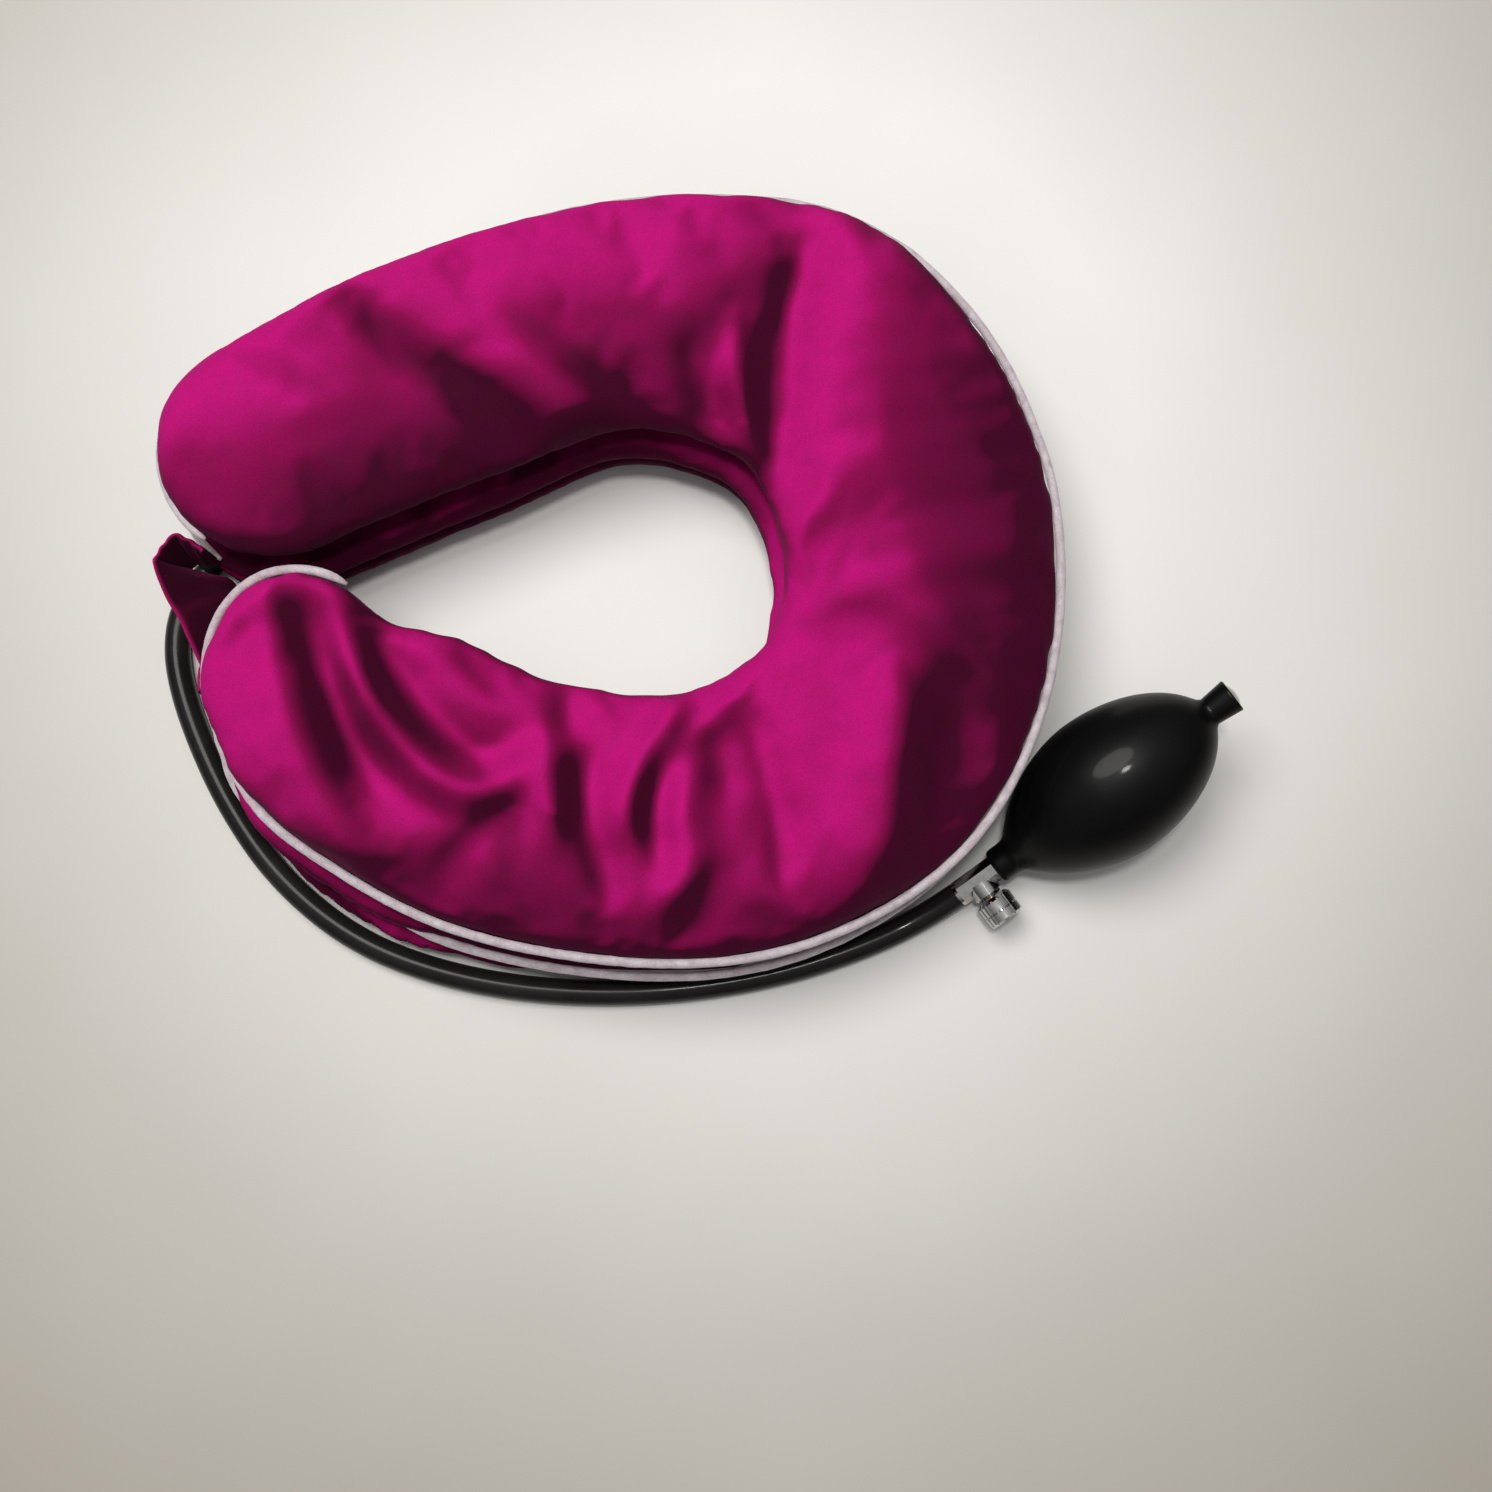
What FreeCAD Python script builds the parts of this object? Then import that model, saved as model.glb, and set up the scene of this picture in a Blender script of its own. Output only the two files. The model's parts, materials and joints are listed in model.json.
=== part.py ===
import FreeCAD, Part
import math
import os

from FreeCAD import Placement, Rotation, Vector

# Inflatable three-tier neck collar with a hand pump, lying flat and let down.
# Units are millimetres. The table is the plane z = 0 and +Z is up. The origin is the middle of
# the footprint. The collar opens towards -X; its pump lies beside it at +X, -Y.

SIZES = [
    # The plan of a tier: arcs about the neck's middle, the two arm tips and the two outer bows.
    ("neck_x", -8.8), ("neck_y", 2.0),
    ("neck_radius", 45.0), ("back_radius", 131.0),
    ("upper_tip_x", -141.9), ("upper_tip_y", 42.6), ("upper_tip_radius", 36.2), ("upper_bow", 313.4),
    ("lower_tip_x", -135.2), ("lower_tip_y", -33.3), ("lower_tip_radius", 26.8), ("lower_bow", 188.6),
    ("middle_shift_x", -3.5), ("middle_shift_y", -4.0),
    ("bottom_shift_x", -3.0), ("bottom_shift_y", -1.5),
    # Levels of the tiers: each has a lower cover, a seam and an upper cover.
    ("table_level", 0.0), ("bottom_seam", 12.5), ("middle_base", 18.0), ("middle_seam", 26.5),
    ("top_base", 35.0), ("top_seam", 44.0), ("crown_level", 54.0), ("seam_gap", 0.3),
    ("cover_wall", 1.2), ("edge_round", 5.0), ("crown_round", 9.0),
    ("piping_radius", 1.75), ("piping_gap", 0.1),
    ("bladder_inset", 2.5), ("bladder_wall", 0.8), ("bladder_gap", 0.3), ("bladder_round", 6.6),
    # The air links that join one bladder to the next.
    ("link_radius", 8.0), ("link_bore", 5.0), ("link_flange_gap", 0.1),
    ("link_x", 79.0), ("link_y", 4.0),
    # The port where the hose enters the bottom tier, at the upper arm's tip.
    ("port_angle", 228.0), ("port_heading", 235.0), ("port_level", 5.6),
    ("port_radius", 3.9), ("port_bore", 2.5), ("port_reach", 6.0), ("port_depth", 4.6),
    ("grommet_radius", 5.2), ("grommet_reach", 1.6),
    ("hose_radius", 4.5), ("hose_bore", 2.5),
    # The strap that closes the collar across its arm tips.
    ("strap_low", 19.0), ("strap_high", 41.5), ("strap_thickness", 2.5),
    ("strap_hinge_x", -180.0), ("strap_hinge_y", 5.0), ("strap_radius", 30.8),
    ("strap_start_angle", 152.0), ("strap_end_angle", 182.0),
    ("patch_low", 29.0), ("patch_high", 40.5), ("patch_thickness", 1.2),
    ("loop_radius", 27.2), ("hook_radius", 29.5),
    ("anchor_clear", 1.9), ("anchor_length", 6.0),
    # The hand pump, laid out along its own axis from the middle of the valve.
    ("pump_x", 99.9), ("pump_y", -100.9), ("pump_z", 11.3), ("pump_yaw", 36.0), ("pump_pitch", 18.0),
    ("valve_length", 15.0), ("valve_width", 9.0), ("air_bore", 1.2),
    ("barb_radius", 2.5), ("barb_length", 6.0), ("barb_lip", 0.35), ("barb_flange", 1.2),
    ("neck_plug_radius", 3.4), ("neck_plug_length", 7.5), ("neck_plug_wall", 0.8),
    ("boss_radius", 5.2), ("boss_face", 7.2), ("boss_chamfer", 1.2),
    ("knob_radius", 6.5), ("knob_start", 7.5), ("knob_end", 16.8), ("knob_shoulder", 1.4),
    ("knob_chamfer", 0.9), ("knob_waist", 0.35), ("knob_socket", 2.0), ("knob_groove", 0.5),
    ("stem_radius", 2.0), ("stem_clearance", 0.08), ("needle_tip", 0.9), ("needle_taper_end", 3.2),
    ("seal_radius", 3.2), ("seal_thickness", 1.4), ("seal_gap", 0.3), ("seal_pocket", 0.6),
    ("outlet_ball_radius", 1.7), ("outlet_ball_place", 10.85), ("outlet_chamber_start", 2.1),
    ("seat_length", 1.5), ("valve_hole", 0.9),
    ("bulb_middle", 54.5), ("bulb_half_length", 42.0), ("bulb_radius", 26.0), ("bulb_wall", 2.5),
    ("neck_outer", 6.2), ("tail_outer", 6.0), ("tail_end", 106.0), ("tail_bore", 4.1),
    ("squeeze_start", 20.0), ("squeeze_end", 89.0),
    ("intake_start", 97.0), ("intake_ball_radius", 1.9), ("intake_ball_place", 100.15),
    ("intake_ball_clearance", 0.4), ("intake_dome", 1.0), ("retainer_length", 1.6),
]

KNOB_RIBS = 16

doc = FreeCAD.newDocument("neck_collar")
sheet = doc.addObject("Spreadsheet::Sheet", "Sizes")
for row, (alias, value) in enumerate(SIZES, start=1):
    sheet.set("A%d" % row, alias)
    sheet.set("B%d" % row, repr(value))
    sheet.setAlias("B%d" % row, alias)
doc.recompute()

SUBPARTS = []


def size(alias):
    """A driving dimension, read from the sheet."""
    return float(sheet.get(alias))


def keep(thing, label):
    """Names a finished sub-part, which is then checked and written."""
    thing.Label = label
    SUBPARTS.append(thing)
    return thing


def at_angle(centre, radius, degrees):
    angle = math.radians(degrees)
    return centre + Vector(radius * math.cos(angle), radius * math.sin(angle), 0)


def direction_angle(vector):
    return math.degrees(math.atan2(vector.y, vector.x))


def arc_between(centre, start, end, clockwise):
    """The arc about a centre from one point to another, in the given sense."""
    radius = (start - centre).Length
    first = direction_angle(start - centre)
    last = direction_angle(end - centre)
    if clockwise:
        sweep = -((first - last) % 360.0)
    else:
        sweep = (last - first) % 360.0
    return Part.Arc(start, at_angle(centre, radius, first + sweep / 2), end)


# ---------------------------------------------------------------- plan of a tier

NECK = Vector(size("neck_x"), size("neck_y"), 0)
TIPS = {
    "upper": Vector(size("upper_tip_x"), size("upper_tip_y"), 0),
    "lower": Vector(size("lower_tip_x"), size("lower_tip_y"), 0),
}
SIDES = {"upper": 1, "lower": -1}


def bow_centre(arm):
    """Centre of an arm's outer bow, which touches the back's circle and the tip's circle."""
    tip = TIPS[arm]
    from_neck = size(arm + "_bow") - size("back_radius")
    from_tip = size(arm + "_bow") - size(arm + "_tip_radius")
    span = (tip - NECK).Length
    along = (from_neck ** 2 - from_tip ** 2 + span ** 2) / (2 * span)
    aside = math.sqrt(from_neck ** 2 - along ** 2)
    unit = (tip - NECK).normalize()
    normal = Vector(-unit.y, unit.x, 0)
    return NECK + unit * along + normal * (SIDES[arm] * aside)


def arm_points(arm, inset):
    """Where an arm's bow meets the back and the tip, and the ends of its straight inner edge."""
    tip = TIPS[arm]
    bow = bow_centre(arm)
    tip_radius = size(arm + "_tip_radius") - inset
    hole_radius = size("neck_radius") + inset
    at_back = NECK + (NECK - bow).normalize() * (size("back_radius") - inset)
    at_tip = tip + (tip - bow).normalize() * tip_radius
    span = (tip - NECK).Length
    lean = math.degrees(math.acos((hole_radius + tip_radius) / span))
    angle = direction_angle(tip - NECK) - SIDES[arm] * lean
    hole_end = at_angle(NECK, hole_radius, angle)
    tip_end = at_angle(tip, -tip_radius, angle)
    return bow, at_back, at_tip, hole_end, tip_end


def outer_edge(inset):
    """The outer edge from the upper arm's inner side, round the back, to the lower arm's."""
    upper_bow, upper_back, upper_tip, _, upper_inner = arm_points("upper", inset)
    lower_bow, lower_back, lower_tip, _, lower_inner = arm_points("lower", inset)
    return [
        arc_between(TIPS["upper"], upper_inner, upper_tip, True),
        arc_between(upper_bow, upper_tip, upper_back, True),
        arc_between(NECK, upper_back, lower_back, True),
        arc_between(lower_bow, lower_back, lower_tip, True),
        arc_between(TIPS["lower"], lower_tip, lower_inner, True),
    ]


def tier_outline(inset):
    """The closed plan of a tier, drawn in by an inset: its outer edge and its neck side."""
    _, _, _, upper_hole, upper_inner = arm_points("upper", inset)
    _, _, _, lower_hole, lower_inner = arm_points("lower", inset)
    return outer_edge(inset) + [
        Part.LineSegment(lower_inner, lower_hole),
        arc_between(NECK, lower_hole, upper_hole, False),
        Part.LineSegment(upper_hole, upper_inner),
    ]


# ---------------------------------------------------------------- PartDesign helpers

def new_sketch(body, role, name):
    """A sketch on one of the body's own origin planes."""
    plane = [f for f in body.Origin.OriginFeatures if f.Role == role][0]
    sketch = body.newObject("Sketcher::SketchObject", name)
    sketch.AttachmentSupport = [(plane, "")]
    sketch.MapMode = "FlatFace"
    return sketch


def edges_at(shape, level):
    """Names of the edges that lie wholly in the plane z = level."""
    names = []
    for number, edge in enumerate(shape.Edges, start=1):
        box = edge.BoundBox
        if abs(box.ZMin - level) < 1e-4 and abs(box.ZMax - level) < 1e-4:
            names.append("Edge%d" % number)
    return names


def round_ends(body, base, levels, radius):
    """Rounds the edges of a padded slab at the given levels."""
    names = []
    for level in levels:
        names += edges_at(base.Shape, level)
    fillet = body.newObject("PartDesign::Fillet", base.Name + "Round")
    fillet.Base = (base, names)
    fillet.setExpression("Radius", radius)
    body.Tip = fillet
    doc.recompute()


def tier_slab(name, inset, low, high, radius, rounded):
    """A slab with a tier's plan between two levels, rounded at its low or high end or both.

    low, high and radius are expressions on the sheet."""
    body = doc.addObject("PartDesign::Body", name)
    sketch = new_sketch(body, "XY_Plane", name + "Plan")
    for piece in tier_outline(inset):
        sketch.addGeometry(piece, False)
    sketch.setExpression("AttachmentOffset.Base.z", low)
    pad = body.newObject("PartDesign::Pad", name + "Pad")
    pad.Profile = sketch
    pad.setExpression("Length", "%s - (%s)" % (high, low))
    doc.recompute()
    box = pad.Shape.BoundBox
    levels = {"low": [box.ZMin], "high": [box.ZMax], "both": [box.ZMin, box.ZMax]}[rounded]
    round_ends(body, pad, levels, radius)
    return body


def cut(base, tool, label=None):
    made = doc.addObject("Part::Cut", "Cut")
    made.Base = base
    made.Tool = tool
    return keep(made, label) if label else made


def cylinder(name, radius, height, placement):
    """A cylinder along its placement's z axis; radius and height are expressions."""
    made = doc.addObject("Part::Cylinder", name)
    made.setExpression("Radius", radius)
    made.setExpression("Height", height)
    made.Placement = placement
    return made


def polygon_sketch(body, role, name, points):
    """A closed straight-sided profile through the points."""
    sketch = new_sketch(body, role, name)
    corners = [Vector(x, y, 0) for x, y in points]
    for start, end in zip(corners, corners[1:] + corners[:1]):
        sketch.addGeometry(Part.LineSegment(start, end), False)
    return sketch


def revolve(body, sketch, axis):
    turned = body.newObject("PartDesign::Revolution", sketch.Name + "Turn")
    turned.Profile = sketch
    turned.ReferenceAxis = (sketch, [axis])
    turned.Angle = 360
    body.Tip = turned
    return turned


# ---------------------------------------------------------------- collar covers and bladders

TIERS = {
    "bottom": ("table_level", "bottom_seam", "middle_base"),
    "middle": ("middle_base", "middle_seam", "top_base"),
    "top": ("top_base", "top_seam", "crown_level"),
}


def tier_shift(tier):
    if tier == "top":
        return Vector(0, 0, 0)
    return Vector(size(tier + "_shift_x"), size(tier + "_shift_y"), 0)


def port_placement(outside):
    """A point on the hose port's axis, so far outside the cover's edge; its z axis points out."""
    tip = TIPS["upper"] + tier_shift("bottom")
    outward = at_angle(Vector(0, 0, 0), 1, size("port_heading"))
    place = at_angle(tip, size("upper_tip_radius"), size("port_angle")) + outward * outside
    place.z = size("port_level")
    return Placement(place, Rotation(Vector(0, 0, 1), outward))


def link_placement(tier, level):
    place = Vector(size("link_x"), size("link_y"), level) + tier_shift(tier)
    return Placement(place, Rotation())


def cover(tier, side):
    """One cover of a tier: a shallow fabric shell, open towards the tier's seam."""
    base, seam, crown = ["Sizes." + name for name in TIERS[tier]]
    name = tier.title() + side.title()
    radius = "Sizes.crown_round" if (tier, side) == ("top", "upper") else "Sizes.edge_round"
    wall = "Sizes.cover_wall"
    if side == "lower":
        outside = (base, seam, radius, "low")
        inside = (base + " + " + wall, seam + " + 5", radius + " - " + wall, "low")
    else:
        start = seam + " + Sizes.seam_gap"
        outside = (start, crown, radius, "high")
        inside = (start + " - 5", crown + " - " + wall, radius + " - " + wall, "high")
    outer = tier_slab(name + "Outside", 0.0, *outside)
    inner = tier_slab(name + "Inside", size("cover_wall"), *inside)
    shell = cut(outer, inner)
    outer.Placement.Base = tier_shift(tier)
    inner.Placement.Base = tier_shift(tier)
    return shell


def bladder(tier):
    """The airtight bag inside a tier: a closed hollow shell just clear of its covers."""
    base, _, crown = ["Sizes." + name for name in TIERS[tier]]
    gap = "Sizes.cover_wall + Sizes.bladder_gap"
    low = base + " + " + gap
    high = crown + " - (" + gap + ")"
    outer = tier_slab(tier.title() + "BladderOutside", size("bladder_inset"),
                      low, high, "Sizes.bladder_round", "both")
    inner = tier_slab(tier.title() + "BladderInside", size("bladder_inset") + size("bladder_wall"),
                      low + " + Sizes.bladder_wall", high + " - Sizes.bladder_wall",
                      "Sizes.bladder_round - Sizes.bladder_wall", "both")
    outer.Placement.Base = tier_shift(tier)
    inner.Placement.Base = tier_shift(tier)
    return cut(outer, inner)


def piping(tier):
    """The corded piping sewn round a tier's outer seam."""
    radius = size("piping_radius")
    level = size(TIERS[tier][1]) + size("seam_gap") / 2
    lift = tier_shift(tier) + Vector(0, 0, level)
    path = Part.Wire([piece.toShape() for piece in outer_edge(-radius - size("piping_gap"))])
    path.translate(lift)
    spine = doc.addObject("Part::Feature", tier.title() + "PipingPath")
    spine.Shape = path
    start = path.Edges[0].firstVertex().Point
    heading = path.Edges[0].tangentAt(path.Edges[0].FirstParameter)
    circle = doc.addObject("Part::Circle", tier.title() + "PipingSection")
    circle.setExpression("Radius", "Sizes.piping_radius")
    circle.Placement = Placement(start, Rotation(Vector(0, 0, 1), heading))
    sweep = doc.addObject("Part::Sweep", tier.title() + "Piping")
    sweep.Sections = [circle]
    sweep.Spine = (spine, ["Edge%d" % (n + 1) for n in range(len(path.Edges))])
    sweep.Solid = True
    return keep(sweep, tier + "_piping")


def air_links():
    """Short rings through the covers between two tiers, where the bladders are joined."""
    for name, lower, upper, level in (
        ("lower_air_link", "bottom", "middle", "middle_base"),
        ("upper_air_link", "middle", "top", "top_base"),
    ):
        reach = size("cover_wall") + size("bladder_gap") - size("link_flange_gap")
        low = link_placement("middle", size(level) - reach)
        height = "2 * (Sizes.cover_wall + Sizes.bladder_gap - Sizes.link_flange_gap)"
        ring = cylinder(name.title().replace("_", ""), "Sizes.link_radius", height, low)
        bore = cylinder(ring.Name + "Bore", "Sizes.link_bore", height, low)
        cut(ring, bore, name)


def link_hole(base, radius, low, high, label=None):
    """Opens a shell where an air link passes, between two levels."""
    hole = cylinder("LinkHole", radius, "%f" % (high - low), link_placement("middle", low))
    return cut(base, hole, label)


def collar():
    reach = 2.0
    for tier in TIERS:
        base, _, crown = [size(name) for name in TIERS[tier]]
        lower = cover(tier, "lower")
        upper = cover(tier, "upper")
        bag = bladder(tier)
        if tier == "bottom":
            eyelet = port_placement(-size("grommet_reach"))
            inside = port_placement(-size("port_depth"))
            hole = cylinder("EyeletHole", "Sizes.grommet_radius", "20", eyelet)
            tube = cylinder("PortHole", "Sizes.port_radius", "20", inside)
            cut(cut(lower, tube), hole, "bottom_lower_cover")
            bag = cut(bag, tube)
        else:
            link_hole(lower, "Sizes.link_radius", base - reach, base + reach,
                      tier + "_lower_cover")
            bag = link_hole(bag, "Sizes.link_bore", base, base + 2 * reach)
        if tier == "top":
            keep(upper, "top_upper_cover")
            keep(bag, "top_bladder")
        else:
            link_hole(upper, "Sizes.link_radius", crown - reach, crown + reach,
                      tier + "_upper_cover")
            link_hole(bag, "Sizes.link_bore", crown - 2 * reach, crown, tier + "_bladder")
        piping(tier)
    air_links()


# ---------------------------------------------------------------- hose port and hose

def hose_port():
    """The stub welded into the bottom bladder, and the eyelet that lines the cover round it."""
    reach = size("port_depth") + size("port_reach")
    start = port_placement(-size("port_depth"))
    stub = cylinder("PortStub", "Sizes.port_radius", "%f" % reach, start)
    bore = cylinder("PortBore", "Sizes.port_bore", "%f" % reach, start)
    cut(stub, bore, "hose_port")
    ring_start = port_placement(-size("grommet_reach"))
    width = "2 * Sizes.grommet_reach"
    ring = cylinder("GrommetRing", "Sizes.grommet_radius", width, ring_start)
    bore = cylinder("GrommetBore", "Sizes.port_radius", width, ring_start)
    cut(ring, bore, "hose_grommet")


PUMP = Placement(
    Vector(size("pump_x"), size("pump_y"), size("pump_z")),
    Rotation(Vector(0, 0, 1), size("pump_yaw")) * Rotation(Vector(0, 1, 0), -size("pump_pitch")),
)


def hose_route():
    """The hose's route: out of the port, round the lower arm on the table, up to the valve."""
    lie = size("hose_radius")
    exit_point = port_placement(size("port_reach")).Base
    valve_end = PUMP.multVec(Vector(-size("valve_length") / 2 - size("barb_flange"), 0, 0))
    return [
        exit_point,
        Vector(-179.7, -0.6, 4.9),
        Vector(-182.9, -12.7, lie),
        Vector(-181.8, -27.2, lie),
        Vector(-175.0, -47.6, lie),
        Vector(-161.8, -74.6, lie),
        Vector(-143.3, -100.1, lie),
        Vector(-117.3, -121.1, lie),
        Vector(-86.8, -133.1, lie),
        Vector(-50.3, -139.4, lie),
        Vector(-10.3, -139.6, lie),
        Vector(27.7, -134.1, lie),
        Vector(59.7, -124.1, lie),
        Vector(82.6, -113.2, lie),
        valve_end,
    ]


def hose():
    """A tube along straight runs joined by tangent arcs, as large as their runs allow."""
    route = hose_route()
    edges = []
    here = route[0]
    for before, corner, after in zip(route, route[1:], route[2:]):
        into = (corner - before).normalize()
        onward = (after - corner).normalize()
        turn = into.getAngle(onward)
        reach = 0.45 * min((corner - before).Length, (after - corner).Length)
        radius = reach / math.tan(turn / 2)
        print("hose bend radius %.1f mm, turn %.1f deg" % (radius, math.degrees(turn)))
        start = corner - into * reach
        end = corner + onward * reach
        bisector = (onward - into).normalize()
        middle = corner + bisector * (radius / math.cos(turn / 2) - radius)
        edges.append(Part.LineSegment(here, start).toShape())
        edges.append(Part.Arc(start, middle, end).toShape())
        here = end
    edges.append(Part.LineSegment(here, route[-1]).toShape())
    path = Part.Wire(edges)
    length = path.Length
    spine = doc.addObject("Part::Feature", "HosePath")
    spine.Shape = path
    tubes = []
    for name, radius in (("HoseOutside", "hose_radius"), ("HoseBore", "hose_bore")):
        circle = doc.addObject("Part::Circle", name + "Section")
        circle.setExpression("Radius", "Sizes." + radius)
        circle.Placement = Placement(route[0], Rotation(Vector(0, 0, 1), route[1] - route[0]))
        sweep = doc.addObject("Part::Sweep", name)
        sweep.Sections = [circle]
        sweep.Spine = (spine, ["Edge%d" % (n + 1) for n in range(len(path.Edges))])
        sweep.Solid = True
        tubes.append(sweep)
    made = cut(tubes[0], tubes[1], "hose")
    doc.recompute()
    section = math.pi * (size("hose_radius") ** 2 - size("hose_bore") ** 2)
    print("hose length %.1f mm, volume %.0f mm3, section x length %.0f mm3"
          % (length, made.Shape.Volume, section * length))


# ---------------------------------------------------------------- closure strap

def band(name, points_in, points_out, low, high, label):
    """An upright band between two curved edges seen in plan."""
    body = doc.addObject("PartDesign::Body", name)
    sketch = new_sketch(body, "XY_Plane", name + "Plan")
    for piece in points_in + points_out:
        sketch.addGeometry(piece, False)
    sketch.setExpression("AttachmentOffset.Base.z", low)
    pad = body.newObject("PartDesign::Pad", name + "Pad")
    pad.Profile = sketch
    pad.setExpression("Length", "%s - %s" % (high, low))
    return keep(body, label)


def curved_plate(name, radius, thickness, first, last, low, high, label):
    """An upright plate bent round the lower arm's tip on the middle tier."""
    centre = TIPS["lower"] + tier_shift("middle")
    inner = [at_angle(centre, radius, first), at_angle(centre, radius, last)]
    outer = [at_angle(centre, radius + thickness, first), at_angle(centre, radius + thickness, last)]
    edges = [arc_between(centre, inner[0], inner[1], False), Part.LineSegment(inner[1], outer[1])]
    back = [arc_between(centre, outer[1], outer[0], True), Part.LineSegment(outer[0], inner[0])]
    return band(name, edges, back, low, high, label)


def strap():
    """The strap hinges where it is sewn on, runs across the gap and wraps the lower arm's tip."""
    centre = TIPS["lower"] + tier_shift("middle")
    thick = size("strap_thickness")
    inner_radius = size("strap_radius")
    hinge = Vector(size("strap_hinge_x"), size("strap_hinge_y"), 0)
    first, last = size("strap_start_angle"), size("strap_end_angle")
    inner = at_angle(centre, inner_radius, first)
    outer = at_angle(centre, inner_radius + thick, first)
    inner_end = at_angle(centre, inner_radius, last)
    outer_end = at_angle(centre, inner_radius + thick, last)
    across = (inner - hinge).normalize()
    aside = Vector(-across.y, across.x, 0) * (thick / 2)
    inner_top = hinge + aside
    outer_top = hinge - aside
    ahead = [
        Part.LineSegment(inner_top, inner),
        arc_between(centre, inner, inner_end, False),
        Part.LineSegment(inner_end, outer_end),
    ]
    back = [
        arc_between(centre, outer_end, outer, True),
        Part.LineSegment(outer, outer_top),
        Part.LineSegment(outer_top, inner_top),
    ]
    band("Strap", ahead, back, "Sizes.strap_low", "Sizes.strap_high", "closure_strap")
    curved_plate("HookPatch", size("hook_radius"), size("patch_thickness"), first + 4, last - 1,
                 "Sizes.patch_low", "Sizes.patch_high", "hook_patch")
    curved_plate("LoopPatch", size("loop_radius"), size("patch_thickness"), first, last,
                 "Sizes.patch_low", "Sizes.patch_high", "loop_patch")
    tip = TIPS["upper"] + tier_shift("middle")
    towards = (tip - hinge).normalize()
    start = hinge + towards * size("anchor_clear")
    turned = Vector(-towards.y, towards.x, 0) * (thick / 2)
    end = start + towards * size("anchor_length")
    corners = [start + turned, end + turned, end - turned, start - turned]
    lines = [Part.LineSegment(a, b) for a, b in zip(corners, corners[1:] + corners[:1])]
    band("Anchor", lines[:2], lines[2:], "Sizes.strap_low", "Sizes.strap_high", "strap_anchor")


# ---------------------------------------------------------------- pump: valve, knob and bulb

def valve_body():
    """Eight-sided chromed body with a barb at each end, a side boss and crossing air bores."""
    half = size("valve_length") / 2
    width = size("valve_width")
    body = doc.addObject("PartDesign::Body", "ValveBody")
    section = new_sketch(body, "YZ_Plane", "ValveSection")
    corner_radius = width / 2 / math.cos(math.pi / 8)
    corners = []
    for number in range(8):
        angle = math.pi / 8 + number * math.pi / 4
        corners.append(Vector(corner_radius * math.cos(angle), corner_radius * math.sin(angle), 0))
    for start, end in zip(corners, corners[1:] + corners[:1]):
        section.addGeometry(Part.LineSegment(start, end), False)
    block = body.newObject("PartDesign::Pad", "ValveBlock")
    block.Profile = section
    block.setExpression("Length", "Sizes.valve_length")
    block.Midplane = True
    doc.recompute()
    barb, reach = size("barb_radius"), size("barb_length")
    plug, plug_reach = size("neck_plug_radius"), size("neck_plug_length")
    flange, air = size("barb_flange"), size("air_bore")
    shank = barb - size("barb_lip")
    barb_end = -half - reach
    barb_top = barb_end + reach / 3
    ends = polygon_sketch(body, "XZ_Plane", "ValveEnds", [
        (barb_end, 0), (barb_end, shank), (barb_top, barb), (barb_top, shank),
        (-half - flange, shank), (-half - flange, size("hose_radius")), (-half, size("hose_radius")),
        (1 - half, air), (half - 1, air), (half, plug), (half + plug_reach, plug),
        (half + plug_reach, 0),
    ])
    revolve(body, ends, "H_Axis")
    boss_face, boss, chamfer = size("boss_face"), size("boss_radius"), size("boss_chamfer")
    shoulder = polygon_sketch(body, "XY_Plane", "ValveBoss", [
        (0, -1), (boss, -1), (boss, chamfer - boss_face), (boss - chamfer, -boss_face),
        (0, -boss_face),
    ])
    revolve(body, shoulder, "V_Axis")
    doc.recompute()
    body.Placement = PUMP
    chamber = size("outlet_ball_radius") + 0.2
    chamber_start = half + size("outlet_chamber_start")
    plug_end = half + plug_reach
    seat_start = plug_end - size("seat_length")
    seat = plug - size("neck_plug_wall")
    drill = doc.addObject("PartDesign::Body", "ValveBores")
    bores = polygon_sketch(drill, "XZ_Plane", "ValveAirBore", [
        (barb_end - 1, 0), (barb_end - 1, air), (chamber_start, air), (chamber_start, chamber),
        (seat_start, chamber), (seat_start, seat), (plug_end + 1, seat), (plug_end + 1, 0),
    ])
    revolve(drill, bores, "H_Axis")
    stem = size("stem_radius") + size("stem_clearance")
    seal = size("seal_radius") + size("stem_clearance")
    pocket = size("seal_thickness") + size("seal_pocket") - boss_face
    cross = polygon_sketch(drill, "XY_Plane", "ValveStemBore", [
        (0, 0), (stem, 0), (stem, pocket), (seal, pocket), (seal, -boss_face - 1),
        (0, -boss_face - 1),
    ])
    revolve(drill, cross, "V_Axis")
    drill.Placement = PUMP
    cut(body, drill, "valve_body")


def turned_piece(name, role, axis, points, label):
    body = doc.addObject("PartDesign::Body", name)
    profile = polygon_sketch(body, role, name + "Profile", points)
    revolve(body, profile, axis)
    body.Placement = PUMP
    return keep(body, label)


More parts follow.
